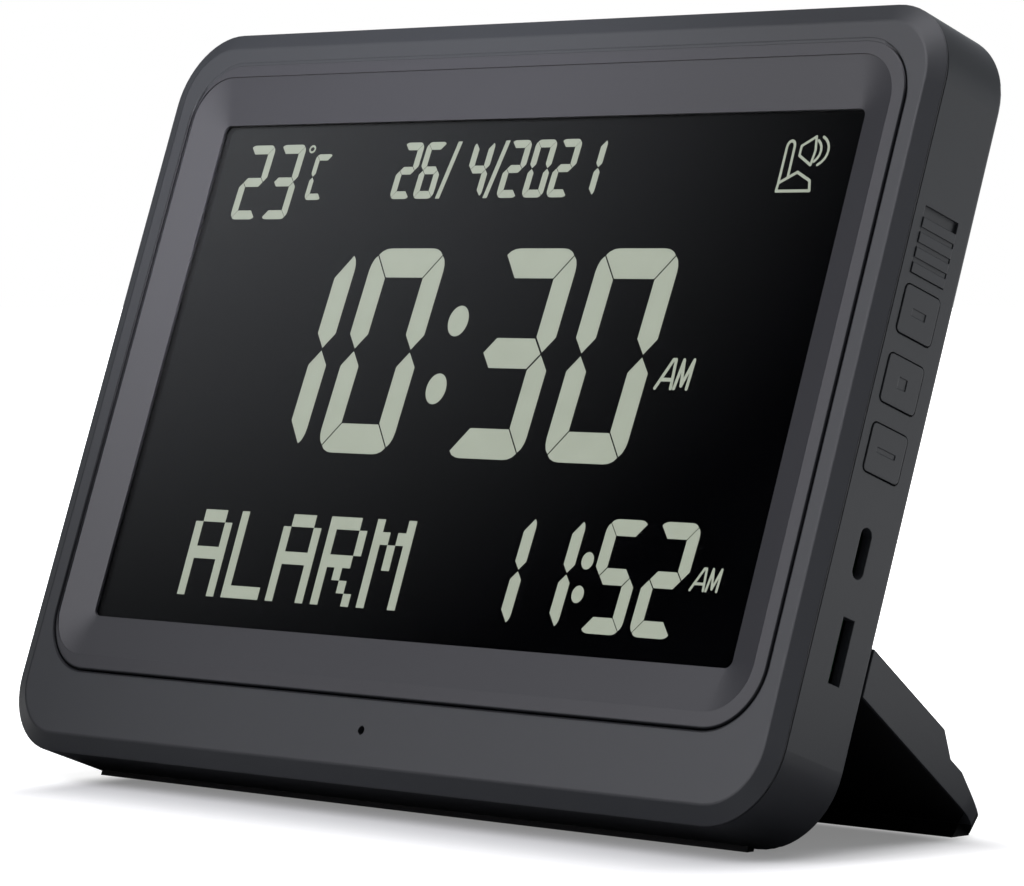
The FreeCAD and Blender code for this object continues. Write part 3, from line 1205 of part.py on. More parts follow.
def make_stand_flap():
    """Wide flap: thick at its root, thin towards the tip, hollow between ribs."""
    body = new_body("stand_flap", STAND)
    profile = new_sketch(body, "YZ_Plane", (ZERO, ZERO, ZERO))
    draw_polygon(profile, [(root_face(STAND_TOP), STAND_TOP), (root_face(STAND_INNER), STAND_INNER),
                           (S.stand_length, STAND_INNER), (S.stand_length, TIP_TOP),
                           (STEP_END + S.stand_flat_length, THIN_TOP), (STEP_END, THIN_TOP),
                           (S.stand_thick_length, STAND_TOP)])
    extrude("Pad", body, profile, S.case_width, midplane=True)
    trim_stand(body)

    seat_top = STAND_INNER + S.inner_plate
    seat = new_sketch(body, "XY_Plane", (ZERO, ZERO, STAND_INNER))
    draw_inner_plate(seat)
    extrude("Pocket", body, seat, S.inner_plate, reversed_way=True)

    hollow_width = (S.case_width - 2 * S.cheek - (S.cell_count - 1) * S.stand_rib) / S.cell_count
    skin_top = STAND_TOP - S.stand_skin
    thin_skin = THIN_TOP - S.stand_skin
    hollow_start = root_face(seat_top, S.stand_skin)
    for index in range(int(S.cell_count.value)):
        left = S.cheek - HALF + index * (hollow_width + S.stand_rib)
        hollow = new_sketch(body, "YZ_Plane", (ZERO, ZERO, left))
        draw_polygon(hollow, [(hollow_start, seat_top), (S.stand_length - S.stand_skin, seat_top),
                              (S.stand_length - S.stand_skin, TIP_TOP - S.stand_skin),
                              (STEP_END, thin_skin), (S.stand_thick_length - S.stand_skin / 2, skin_top),
                              (root_face(skin_top, S.stand_skin), skin_top)])
        extrude("Pocket", body, hollow, hollow_width, reversed_way=True)

    ear_gap = S.knuckle_radius + S.knuckle_gap
    for middle in HINGE_SIDES:
        side_disc("Pocket", body, ZERO, ZERO, ear_gap, middle - HINGE_STATION / 2 - S.knuckle_gap,
                  middle + HINGE_STATION / 2 + S.knuckle_gap)
        side_disc("Pad", body, ZERO, ZERO, S.knuckle_radius, middle - S.knuckle_length / 2,
                  middle + S.knuckle_length / 2)
        web = new_sketch(body, "YZ_Plane", (ZERO, ZERO, middle - S.knuckle_length / 2))
        draw_polygon(web, [(root_face(STAND_TOP), STAND_TOP),
                           (root_face(-ear_gap - 1), -ear_gap - 1), (ear_gap + 1, -ear_gap - 1),
                           (ear_gap + 1, STAND_TOP)])
        extrude("Pad", body, web, S.knuckle_length)
        side_disc("Pocket", body, ZERO, ZERO, S.hinge_pin + S.pin_play,
                  middle - HINGE_STATION / 2, middle + HINGE_STATION / 2)
    return body


def make_stand_rest():
    """Inner plate, rubber tip, hinge pins and friction washers."""
    plate = new_body("stand_inner_plate", STAND)
    sketch = new_sketch(plate, "XY_Plane", (ZERO, ZERO, STAND_INNER))
    draw_inner_plate(sketch, S.inner_plate_play)
    extrude("Pad", plate, sketch, S.inner_plate)

    tip = new_body("stand_tip", STAND)
    sketch = new_sketch(tip, "YZ_Plane", (ZERO, ZERO, ZERO))
    sole_high = STAND_INNER + S.tip_high
    draw_polygon(sketch, [(S.stand_length, STAND_INNER), (floor_at(STAND_INNER), STAND_INNER),
                          (floor_at(sole_high), sole_high),
                          (S.stand_length + S.tip_nose, TIP_TOP - S.tip_edge), (S.stand_length, TIP_TOP)])
    extrude("Pad", tip, sketch, S.case_width, midplane=True)
    trim_stand(tip)
    heel = new_sketch(tip, "YZ_Plane", (ZERO, ZERO, ZERO))
    sole_low = STAND_INNER - S.heel_depth
    draw_polygon(heel, [(S.stand_length, STAND_INNER), (S.stand_length, sole_low + S.heel_depth / 3),
                        (floor_at(sole_low), sole_low), (floor_at(STAND_INNER), STAND_INNER)])
    extrude("Pad", tip, heel, S.case_width - 2 * S.heel_inset, midplane=True)

    pins, washers = [], []
    for middle in HINGE_SIDES:
        pin = cylinder(middle - HINGE_STATION / 2, S.hinge_height, ZERO, S.hinge_pin, HINGE_STATION)
        pin.Placement.Rotation = FreeCAD.Rotation(FreeCAD.Vector(0, 1, 0), 90)
        pins.append(pin)
        for side in (-1, 1):
            face = middle + side * (S.knuckle_length + S.washer_thickness + 2 * S.washer_play) / 2
            start = face - S.washer_thickness / 2
            ring = cylinder(start, S.hinge_height, ZERO, S.knuckle_radius - S.pin_play, S.washer_thickness)
            bore = cylinder(start, S.hinge_height, ZERO, S.hinge_pin + S.pin_play, S.washer_thickness)
            for round_piece in (ring, bore):
                round_piece.Placement.Rotation = FreeCAD.Rotation(FreeCAD.Vector(0, 1, 0), 90)
            washers.append(cut_away(ring, bore))
    group("hinge_pins", pins)
    group("friction_washers", washers)


# ---------------------------------------------------------------- the whole clock
def make_clock():
    make_front_frame()
    make_display_bezel()
    make_display()
    make_lcd_holder()
    make_main_board()
    make_inlets()
    make_key_board()
    for name, middle in zip(KEY_NAMES, KEY_HEIGHTS):
        make_key(name, middle)
    make_power_slider()
    make_cell()
    make_speaker()
    make_leads()
    make_rear_cover()
    make_case_foot()
    make_stand_flap()
    make_stand_rest()
    doc.recompute()


def check_and_export():
    """Stops on any failed object or bad solid, then writes one STEP file for each node."""
    for obj in doc.Objects:
        if {"Invalid", "Error"} & set(obj.State):
            raise RuntimeError(f"{obj.Name} of {obj.Label} failed: {obj.State}")
    for node in nodes:
        if node.Shape.isNull() or not node.Shape.isValid() or not node.Shape.Solids:
            raise RuntimeError(f"{node.Label} has no valid solid")
    os.makedirs("parts", exist_ok=True)
    for node in nodes:
        node.Shape.exportStep(f"parts/{node.Label}.step")
        print(f"{node.Label}: {len(node.Shape.Solids)} solid(s), {node.Shape.Volume:.1f} mm3")


make_clock()
check_and_export()
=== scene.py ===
import math

import bmesh
import bpy
from mathutils import Matrix, Vector


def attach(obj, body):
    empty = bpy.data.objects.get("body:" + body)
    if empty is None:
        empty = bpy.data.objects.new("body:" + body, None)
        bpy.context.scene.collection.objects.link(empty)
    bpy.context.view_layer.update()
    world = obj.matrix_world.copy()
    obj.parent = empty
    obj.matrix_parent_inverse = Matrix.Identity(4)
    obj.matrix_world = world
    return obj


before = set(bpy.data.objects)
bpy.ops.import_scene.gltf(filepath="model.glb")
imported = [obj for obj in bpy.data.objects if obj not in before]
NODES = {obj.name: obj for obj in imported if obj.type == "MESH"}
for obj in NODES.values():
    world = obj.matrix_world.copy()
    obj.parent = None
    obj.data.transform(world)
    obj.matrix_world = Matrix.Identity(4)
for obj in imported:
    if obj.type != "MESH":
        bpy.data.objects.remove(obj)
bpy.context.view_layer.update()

MM = 0.001

# The case lies back by LEAN. Its own frame, in millimetres, is x to the right, y up the face
# and z out of the face from the rear face; these are the same values as in the solids.
LEAN = math.radians(19.9)
CASE_TURN = math.pi / 2 - LEAN
REAR_EDGE = Vector((0.0, 1.969, 0.15)) * MM
CASE = Matrix.Translation(REAR_EDGE) @ Matrix.Rotation(CASE_TURN, 4, "X")
CASE_DEPTH = 17.3

# the bezel's groove: its line is a rectangle with round corners
GROOVE_CORNER_X = 81.3
GROOVE_CORNER_Y = 129.1
GROOVE_MIDDLE_Y = 78.55
GROOVE_RADIUS = 11.85

# the lit layer lies just over the display glass
GLASS_FRONT = 14.25
INK = 0.03
INK_BACK = GLASS_FRONT + INK * 0.3
INK_THICKNESS = INK * 0.6

# how far the look of a moulded edge is rounded
EDGE_ROUNDING = 0.25
BEZEL_EDGE_ROUNDING = 0.06

# charcoal ABS in its two tones, and the shade and dulled highlight painted into the bezel's groove
CHARCOAL = ("#35373a", "#323437")
GROOVE_SHADE = "#27282b"
GROOVE_SHADE_SPECULAR = 0.12

# refractive indices
PLASTIC_REFRACTION = 1.49
GLASS_REFRACTION = 1.52

# how much the table glows for the camera, beside the clock and further away: the weaker glow beside
# the clock paints a shadow round it, over the real one
NEAR_GLOW = 0.21
FAR_GLOW = 0.93

# the world: even light from all sides, and a faint glow far out to the left
FILL = 0.185
GLOW_WAY = (-0.7788, -0.4071, 0.4772)
GLOW_WIDTH = math.radians(12.6)
GLOW_STRENGTH = 1.23
GLOW_CURVE = 1.49

# what the lamps point at, in metres
CLOCK_MIDDLE = (0, 0, 0.07)
UPPER_LEFT = (-0.055, 0.045, 0.128)
LAMP_COLOUR = "#f9f8ff"

# the camera: focal length and picture width in picture points, sensor in millimetres,
# place in metres, and how far it looks down and turns left in radians
FOCAL_POINTS = 4810
PICTURE_POINTS = 1024
SENSOR_WIDTH = 36.0
CAMERA_PLACE = (0.63258, -0.60059, 0.10187)
CAMERA_DIP = 0.04
CAMERA_TURN = 0.789


# ---------------------------------------------------------------- colour and node helpers
def srgb(hex_colour):
    """An sRGB hex colour as linear red, green, blue and alpha."""
    channels = [int(hex_colour[i:i + 2], 16) / 255 for i in (1, 3, 5)]
    linear = [c / 12.92 if c <= 0.04045 else ((c + 0.055) / 1.055) ** 2.4 for c in channels]
    return (*linear, 1.0)


def add(tree, kind, settings=None, **inputs):
    """Adds a node. An input goes by its name or, as _0, by its number; a socket is linked."""
    node = tree.nodes.new(kind)
    for name, value in (settings or {}).items():
        setattr(node, name, value)
    for name, value in inputs.items():
        key = int(name[1:]) if name[0] == "_" else name.replace("_", " ")
        socket = node.inputs[key]
        if isinstance(value, bpy.types.NodeSocket):
            tree.links.new(value, socket)
        else:
            socket.default_value = value
    return node


def calculate(tree, operation, *values):
    """The result of a Math node."""
    numbered = {f"_{index}": value for index, value in enumerate(values)}
    return add(tree, "ShaderNodeMath", {"operation": operation}, **numbered).outputs[0]


def calculate_vector(tree, operation, *values):
    """The result of a Vector Math node: a number for a length or a dot product."""
    numbered = {f"_{index}": value for index, value in enumerate(values)}
    node = add(tree, "ShaderNodeVectorMath", {"operation": operation}, **numbered)
    return node.outputs["Value" if operation in ("LENGTH", "DOT_PRODUCT") else "Vector"]


def blend(tree, share, first, second):
    """Two colours mixed by a share."""
    return add(tree, "ShaderNodeMix", {"data_type": "RGBA"}, Factor=share,
               _6=first, _7=second).outputs[2]


def blend_value(tree, share, first, second):
    """Two numbers mixed by a share."""
    return add(tree, "ShaderNodeMix", {"data_type": "FLOAT"}, Factor=share,
               _2=first, _3=second).outputs[0]


def spread(tree, value, low, high, start=0.0, end=1.0, curve="LINEAR"):
    """The value's place between low and high, spread from start to end."""
    return add(tree, "ShaderNodeMapRange", {"interpolation_type": curve}, Value=value,
               From_Min=low, From_Max=high, To_Min=start, To_Max=end).outputs[0]


def ease(tree, value, low, high, start=0.0, end=1.0):
    """The same as spread, with a soft start and a soft end."""
    return spread(tree, value, low, high, start, end, "SMOOTHSTEP")


def object_place(tree):
    return add(tree, "ShaderNodeTexCoord").outputs["Object"]


def noise(tree, place, size, detail=2.0):
    """Noise with features of about this size in millimetres."""
    return add(tree, "ShaderNodeTexNoise", Vector=place, Scale=1 / (size * MM),
               Detail=detail).outputs["Fac"]


def new_material(name):
    material = bpy.data.materials.new(name)
    material.use_nodes = True
    material.node_tree.nodes.clear()
    return material, material.node_tree


def finish_material(tree, shader):
    add(tree, "ShaderNodeOutputMaterial", Surface=shader.outputs[0])


def wear(material, *names):
    """Gives CAD nodes a material."""
    for name in names:
        slots = NODES[name].data.materials
        slots.clear()
        slots.append(material)


# ---------------------------------------------------------------- materials
def groove_shade_share(tree, place):
    """How much painted shade a spot gets: how much of it lies in the bezel's groove or on its
    bevels, from 0 to 1.
    """
    half_dark, half_grey = 0.42, 0.62
    rib_start, rib_full = 130.0, 133.0
    any_depth = 1000
    corner = (GROOVE_CORNER_X, GROOVE_CORNER_Y - GROOVE_MIDDLE_Y, any_depth)
    on_case = add(tree, "ShaderNodeMapping", {"vector_type": "TEXTURE"}, Vector=place,
                  Location=REAR_EDGE, Rotation=(CASE_TURN, 0, 0), Scale=(MM, MM, MM)).outputs[0]
    # distance from the groove's line, which is the same in all four quarters
    centred = calculate_vector(tree, "SUBTRACT", on_case, (0, GROOVE_MIDDLE_Y, 0))
    mirrored = calculate_vector(tree, "ABSOLUTE", centred)
    beyond = calculate_vector(tree, "SUBTRACT", mirrored, corner)
    outside = calculate_vector(tree, "MAXIMUM", beyond, (0, 0, 0))
    reach = calculate_vector(tree, "LENGTH", outside)
    gap = calculate(tree, "ABSOLUTE", calculate(tree, "SUBTRACT", reach, GROOVE_RADIUS))
    inside = ease(tree, gap, half_dark, half_grey, 1.0, 0.0)
    # along the top the rib closes the groove, and no shade is painted there
    height = add(tree, "ShaderNodeSeparateXYZ", Vector=on_case).outputs["Y"]
    below_rib = ease(tree, height, rib_start, rib_full, 1.0, 0.0)
    return calculate(tree, "MULTIPLY", inside, below_rib)


def moulded_plastic(name, colours, roughness, grain_size, grain_depth, specular=0.5,
                    edge=EDGE_ROUNDING, groove_shaded=False):
    """Injection-moulded plastic: spark-eroded grain, faint clouding of colour and gloss.

    The grain's size and depth and the edge's rounding are in millimetres.
    """
    cloud_size, gloss_range = 22, 0.05
    light, dark = colours
    material, tree = new_material(name)
    place = object_place(tree)
    grain = noise(tree, place, grain_size)
    tint = blend(tree, noise(tree, place, cloud_size, 3.0), srgb(dark), srgb(light))
    if groove_shaded:
        # with groove_shaded, shade is painted into the bezel's groove and on its bevels, and their
        # highlight is dulled
        share = groove_shade_share(tree, place)
        tint = blend(tree, share, tint, srgb(GROOVE_SHADE))
        specular = spread(tree, share, 0.0, 1.0, specular, GROOVE_SHADE_SPECULAR)
    gloss = spread(tree, grain, 0.0, 1.0, roughness - gloss_range, roughness + gloss_range)
    # no moulded edge is knife sharp
    soft_edge = add(tree, "ShaderNodeBevel", {"samples": 6}, Radius=edge * MM)
    bump = add(tree, "ShaderNodeBump", Height=grain, Distance=grain_depth * MM, Strength=0.6,
               Normal=soft_edge.outputs[0])
    shader = add(tree, "ShaderNodeBsdfPrincipled", Base_Color=tint, Roughness=gloss,
                 IOR=PLASTIC_REFRACTION, Specular_IOR_Level=specular, Normal=bump.outputs[0])
    finish_material(tree, shader)
    return material


def polished_acrylic():
    """Hard-coated acrylic: clear, with a sharp reflection."""
    material, tree = new_material("hard_coated_acrylic")
    haze_size, clearest, haziest = 30, 0.004, 0.012
    haze = noise(tree, object_place(tree), haze_size)
    shader = add(tree, "ShaderNodeBsdfPrincipled", Base_Color=srgb("#f4f6f6"),
                 Roughness=spread(tree, haze, 0.0, 1.0, clearest, haziest),
                 IOR=PLASTIC_REFRACTION, Transmission_Weight=1.0)
    # shadow rays pass straight through
    clear = add(tree, "ShaderNodeBsdfTransparent", Color=srgb("#f2f4f4"))
    rays = add(tree, "ShaderNodeLightPath")
    pane = add(tree, "ShaderNodeMixShader", _0=rays.outputs["Is Shadow Ray"],
               _1=shader.outputs[0], _2=clear.outputs[0])
    finish_material(tree, pane)
    return material


def display_glass():
    """Display glass over its black mask: it swallows light, with a trace of blue."""
    material, tree = new_material("masked_display_glass")
    cloud_size = 40
    cloud = noise(tree, object_place(tree), cloud_size)
    tint = blend(tree, cloud, srgb("#040405"), srgb("#060608"))
    shader = add(tree, "ShaderNodeBsdfPrincipled", Base_Color=tint, Roughness=1.0,
                 IOR=GLASS_REFRACTION, Specular_IOR_Level=0.0)
    finish_material(tree, shader)
    return material


def lit_segment():
    """A lit display segment: white light through the light guide, tinted faintly green."""
    material, tree = new_material("backlit_segment")
    patch_size = 6
    uneven = noise(tree, object_place(tree), patch_size)
    tint = blend(tree, uneven, srgb("#aab09f"), srgb("#b4baa9"))
    shader = add(tree, "ShaderNodeBsdfPrincipled", Base_Color=srgb("#141614"), Roughness=0.6,
                 Emission_Color=tint, Emission_Strength=1.0)
    finish_material(tree, shader)
    return material


def drawn_metal(name, colour, roughness, scratch_size):
    """Plated or brushed metal with fine drawn lines."""
    gloss_range, stretch, scratch_depth = 0.08, 0.15, 0.01
    material, tree = new_material(name)
    drawn = add(tree, "ShaderNodeMapping", Vector=object_place(tree), Scale=(stretch, 1.0, 1.0))
    lines = noise(tree, drawn.outputs[0], scratch_size, 3.0)
    gloss = spread(tree, lines, 0.0, 1.0, roughness - gloss_range, roughness + gloss_range)
    bump = add(tree, "ShaderNodeBump", Height=lines, Distance=scratch_depth * MM, Strength=0.4)
    shader = add(tree, "ShaderNodeBsdfPrincipled", Base_Color=srgb(colour), Metallic=1.0,
                 Roughness=gloss, Normal=bump.outputs[0])
    finish_material(tree, shader)
    return material


def dress_case():
    # spark-eroded ABS, dark charcoal with a cool cast: a broad dull sheen, no mirror image
    case_abs = moulded_plastic("charcoal_abs", CHARCOAL, 0.40, 0.35, 0.012)
    wear(case_abs, "rear_cover", "stand_flap")
    # the same, with shade painted into the bezel's groove and its highlight dulled there
    wear(moulded_plastic("charcoal_abs_front", CHARCOAL, 0.40, 0.35, 0.012, groove_shaded=True),
         "front_frame")
    # the same ABS from a smoother mould, with the groove's painted shade on its edge too
    wear(moulded_plastic("smooth_charcoal_abs", ("#37373b", "#343438"), 0.38, 0.3, 0.008,
                         edge=BEZEL_EDGE_ROUNDING, groove_shaded=True), "display_bezel")
    make_groove_rib(case_abs)
    wear(moulded_plastic("key_abs", ("#343639", "#313336"), 0.4, 0.3, 0.01),
         "up_key", "set_key", "down_key", "power_slider")
    # black nylon-filled ABS, matte; on the stand's inner plate its near black also stands in for
    # the deep shade under the stand
    wear(moulded_plastic("black_abs", ("#121213", "#0e0e0f"), 0.5, 0.4, 0.012),
         "stand_inner_plate", "slide_lever", "up_plunger", "set_plunger", "down_plunger")
    # moulded rubber: deep black, very dull
    wear(moulded_plastic("moulded_rubber", ("#161617", "#101011"), 0.62, 0.5, 0.02, 0.3),
         "case_foot", "stand_tip", "contact_strip")


def dress_inside():
    wear(polished_acrylic(), "display_lens")
    wear(display_glass(), "lcd_panel")
    wear(moulded_plastic("white_abs", ("#dedcd6", "#d6d4ce"), 0.45, 0.4, 0.01),
         "lcd_holder", "reflector_sheet", "light_guide", "backlight_leds", "board_plug")
    wear(moulded_plastic("green_solder_mask", ("#1d5a34", "#184e2c"), 0.35, 0.8, 0.01),
         "main_board", "key_board", "backlight_strip")
    wear(moulded_plastic("black_epoxy", ("#1b1b1d", "#161618"), 0.5, 0.25, 0.01),
         "control_chip", "sound_chip", "memory_chip", "temperature_sensor", "usb_tongue",
         "card_socket", "push_switches")
    wear(drawn_metal("nickel_plated_steel", "#a9a8a4", 0.3, 0.12),
         "quartz_crystal", "slide_switch", "holder_screws", "board_screws", "hinge_pins",
         "friction_washers", "speaker_basket", "speaker_magnet")
    wear(drawn_metal("black_oxide_steel", "#2b2b2d", 0.42, 0.12), "case_screws")
    wear(drawn_metal("black_nickel_steel", "#2c2c2e", 0.4, 0.12), "usb_socket")
    wear(drawn_metal("pouch_foil", "#b4b5b8", 0.35, 0.6), "battery_cell")
    wear(moulded_plastic("tissue_tape", ("#c9c4b6", "#bdb8aa"), 0.7, 0.8, 0.02), "cell_tape")
    wear(moulded_plastic("pressed_paper", ("#202022", "#1a1a1c"), 0.8, 0.5, 0.04),
         "speaker_cone", "speaker_gasket")
    wear(moulded_plastic("red_pvc", ("#9c1c18", "#8e1814"), 0.3, 0.5, 0.004),
         "battery_lead", "speaker_lead")


# ---------------------------------------------------------------- pieces in the case's frame
def piece_from(name, bm, material, body="case"):
    """Turns a bmesh in the case's frame, in millimetres, into a piece that rides on a body."""
    bmesh.ops.recalc_face_normals(bm, faces=bm.faces)
    bmesh.ops.transform(bm, matrix=CASE @ Matrix.Scale(MM, 4), verts=bm.verts)
    piece = object_from(name, bm, material)
    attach(piece, body)


def object_from(name, bm, material):
    """Turns a finished bmesh into an object in the scene."""
    mesh = bpy.data.meshes.new(name)
    bm.to_mesh(mesh)
    bm.free()
    mesh.materials.append(material)
    made = bpy.data.objects.new(name, mesh)
    bpy.context.scene.collection.objects.link(made)
    return made


def arc_points(x, y, radius_x, radius_y, start, end, steps):
    angles = [math.radians(start + (end - start) * step / steps) for step in range(steps + 1)]
    return [(x + radius_x * math.cos(a), y + radius_y * math.sin(a)) for a in angles]


# ---------------------------------------------------------------- lit shapes on the display
# Each size of digit: half its width and height, the widths of its upright and level bars,
# and half the gap between two bars.
TIME_BARS = dict(half_width=10.1, half_height=20.3, upright=4.95, level=5.8, gap=0.28)
SECOND_TIME_BARS = dict(half_width=5.15, half_height=10.5, upright=2.75, level=3.05, gap=0.16)
TEMPERATURE_BARS = dict(half_width=3.7, half_height=7.7, upright=1.75, level=1.85, gap=0.1)
UNIT_BARS = dict(half_width=2.4, half_height=4.7, upright=1.2, level=1.3, gap=0.08)
DATE_BARS = dict(half_width=2.75, half_height=5.7, upright=1.5, level=1.55, gap=0.08)

# the bars that are lit, lettered from the top bar round to the right, and the middle one last
LIT = {"0": "abcdef", "1": "bc", "2": "abged", "3": "abgcd", "4": "fgbc", "5": "afgcd",
       "6": "afgedc", "C": "afed"}

# five by seven dots, one number for each row from the top, with a bit for each dot
DOT_LETTERS = {
    "A": (14, 17, 17, 31, 17, 17, 17), "L": (16, 16, 16, 16, 16, 16, 31),
    "R": (30, 17, 17, 30, 20, 18, 17), "M": (17, 27, 21, 21, 17, 17, 17)}


def add_outline(bm, points):
    """One flat lit shape from its corners, as thick as the lit layer."""
    back = [bm.verts.new((x, y, INK_BACK)) for x, y in points]
    front = [bm.verts.new((x, y, INK_BACK + INK_THICKNESS)) for x, y in points]
    bm.faces.new(back)
    bm.faces.new(front)
    for index in range(len(points)):
        bm.faces.new((back[index - 1], back[index], front[index], front[index - 1]))


def add_dot(bm, x, y, radius_x, radius_y):
    corners = 24
    last_turn = 360 - 360 / corners
    add_outline(bm, arc_points(x, y, radius_x, radius_y, 0, last_turn, corners - 1))


def add_stroke(bm, points, width):
    """A line of even width with round joints."""
    for (x1, y1), (x2, y2) in zip(points, points[1:]):
        length = math.hypot(x2 - x1, y2 - y1)
        side_x, side_y = (y1 - y2) / length * width / 2, (x2 - x1) / length * width / 2
        add_outline(bm, [(x1 + side_x, y1 + side_y), (x1 - side_x, y1 - side_y),
                         (x2 - side_x, y2 - side_y), (x2 + side_x, y2 + side_y)])
    for x, y in points:
        add_dot(bm, x, y, width / 2, width / 2)


def bar_shapes(half_width, half_height, upright, level, gap):
    """Corners of the three kinds of bar: the top one, the upper right one and the middle one."""
    inner_x, inner_y = half_width - upright, half_height - level
    # the top bar takes the first half of the round corner, and the right bar the second half
    radius = 0.9 * upright
    centre_x, centre_y = half_width - radius, half_height - radius
    turns = [math.radians(angle) for angle in (0, 15, 30, 45, 60, 75, 90)]
    arc = [(centre_x + radius * math.sin(a), centre_y + radius * math.cos(a)) for a in turns]
    halfway = len(arc) // 2
    joint_x, joint_y = arc[halfway]
    # the gap between them is slanted, so it takes less along each axis
    slip = gap * 0.7
    top_right = arc[:halfway] + [(joint_x - slip, joint_y), (inner_x - slip, inner_y)]
    top = top_right + [(-x, y) for x, y in reversed(top_right)]
    middle_x = half_width - upright / 2
    shoulder = level / 2
    side = [(middle_x, gap), (half_width, shoulder + gap), *reversed(arc[halfway + 1:]),
            (joint_x, joint_y - slip), (inner_x, inner_y - slip), (inner_x, shoulder + gap)]
    middle = [(middle_x - gap, 0), (inner_x - gap, shoulder), (gap - inner_x, shoulder),
              (gap - middle_x, 0), (gap - inner_x, -shoulder), (inner_x - gap, -shoulder)]
    return top, side, middle


def add_digits(bm, text, places, centre_y, bars, slope=0.0525):
    """Seven-bar digits on one line; a bar that ends free keeps its slanted end."""
    top, side, middle = bar_shapes(**bars)
    flips = {"a": (top, 1, 1), "d": (top, 1, -1), "b": (side, 1, 1), "c": (side, 1, -1),
             "f": (side, -1, 1), "e": (side, -1, -1), "g": (middle, 1, 1)}
    for digit, centre_x in zip(text, places):
        for letter in LIT[digit]:
            shape, across, up = flips[letter]
            add_outline(bm, [(centre_x + across * x + slope * up * y, centre_y + up * y)
                             for x, y in shape])


def make_time(name, material, text, places, centre_y, bars, dots, dot_radii):
    """Hours and minutes with a colon between them."""
    bm = bmesh.new()
    add_digits(bm, text, places, centre_y, bars)
    for x, y in dots:
        add_dot(bm, x, y, *dot_radii)
    piece_from(name, bm, material)


def make_temperature(material):
    bm = bmesh.new()
    digits_y, unit_y = 117.0, 117.9
    add_digits(bm, "23", (-72.4, -63.5), digits_y, TEMPERATURE_BARS)
    add_digits(bm, "C", (-53.7,), unit_y, UNIT_BARS)
    degree_sign = arc_points(-57.6, 123.7, 0.75, 0.65, 0, 360, 10)
    add_stroke(bm, degree_sign, 0.4)
    piece_from("temperature_digits", bm, material)


def make_date(material):
    bm = bmesh.new()
    digits_y = 118.9
    add_digits(bm, "2642021", (-29.3, -23.0, -10.1, -0.5, 6.1, 12.5, 19.1), digits_y, DATE_BARS)
    # the two slashes
    low, high, run, width = 113.2, 124.6, 2.5, 1.1
    for left in (-19.75, -7.0):
        add_outline(bm, [(left, low), (left + width, low),
                         (left + run + width, high), (left + run, high)])
    piece_from("date_digits", bm, material)


def make_dot_word(material):
    bm = bmesh.new()
    first_left, top, pitch = -62.5, 50.3, 12.5
    dot_width, dot_height = 2.08, 2.44
    for place, letter in enumerate("ALARM"):
        for row, bits in enumerate(DOT_LETTERS[letter]):
            for column in range(5):
                if bits >> (4 - column) & 1:
                    left = first_left + pitch * place + column * dot_width
                    low = top - (row + 1) * dot_height
                    add_outline(bm, [(left, low), (left + dot_width, low),
                                     (left + dot_width, low + dot_height),
                                     (left, low + dot_height)])
    piece_from("alarm_word", bm, material)


def make_day_half(name, material, x, y, height, width):
    """The letters AM in upright strokes that lean a little."""
    bm = bmesh.new()
    stroke = 0.13 * height
    lean = 0.12
    letters = [[(0, 0), (0.30, 1), (0.38, 1), (0.50, 0)], [(0.10, 0.30), (0.46, 0.30)],
               [(0.60, 0), (0.64, 1), (0.80, 0.1), (0.96, 1), (1.0, 0)]]
    for points in letters:
        add_stroke(bm, [(x + a * width + lean * b * height, y + b * height) for a, b in points],
                   stroke)
    piece_from(name, bm, material)


def make_sound_sign(material):
    """Small sign of a tower and a sounding horn."""
    bm = bmesh.new()
    tower = [(66.3, 115.6), (66.3, 121.5), *arc_points(67.2, 122.2, 0.9, 1.1, 180, 0, 6),
             (68.1, 121.5), (68.2, 116.6)]
    base = [(66.3, 115.4), (70.2, 117.4), (73.5, 115.8), (74.0, 113.9), (66.2, 113.9),
            (66.3, 115.4)]
    horn = [(69.7, 120.5), (69.7, 122.3), (72.7, 124.0), (73.2, 121.4), (72.8, 118.7),
            (69.7, 120.5)]
    near_wave = arc_points(71.9, 121.3, 2.6, 2.4, -55, 55, 6)
    far_wave = arc_points(72.6, 121.3, 3.6, 3.0, -60, 60, 8)
    for points, width in ((tower, 0.55), (base, 0.55), (horn, 0.5), (near_wave, 0.5),
                          (far_wave, 0.5)):
        add_stroke(bm, points, width)
    piece_from("sound_sign", bm, material)


def make_display():
    material = lit_segment()
    make_time("time_digits", material, "1030", (-47.55, -23.3, 11.1, 36.4), 82.95, TIME_BARS,
              dots=((-4.95, 89.0), (-6.2, 75.75)), dot_radii=(2.6, 3.0))
    make_time("second_time_digits", material, "1152", (22.9, 35.0, 50.5, 62.7), 42.3,
              SECOND_TIME_BARS, dots=((43.1, 44.9), (42.7, 38.7)), dot_radii=(1.45, 1.6))
    make_temperature(material)
    make_date(material)
    make_dot_word(material)
    make_day_half("time_day_half", material, 48.9, 77.1, height=5.3, width=7.6)
    make_day_half("second_time_day_half", material, 68.9, 40.9, height=3.9, width=6.2)
    make_sound_sign(material)


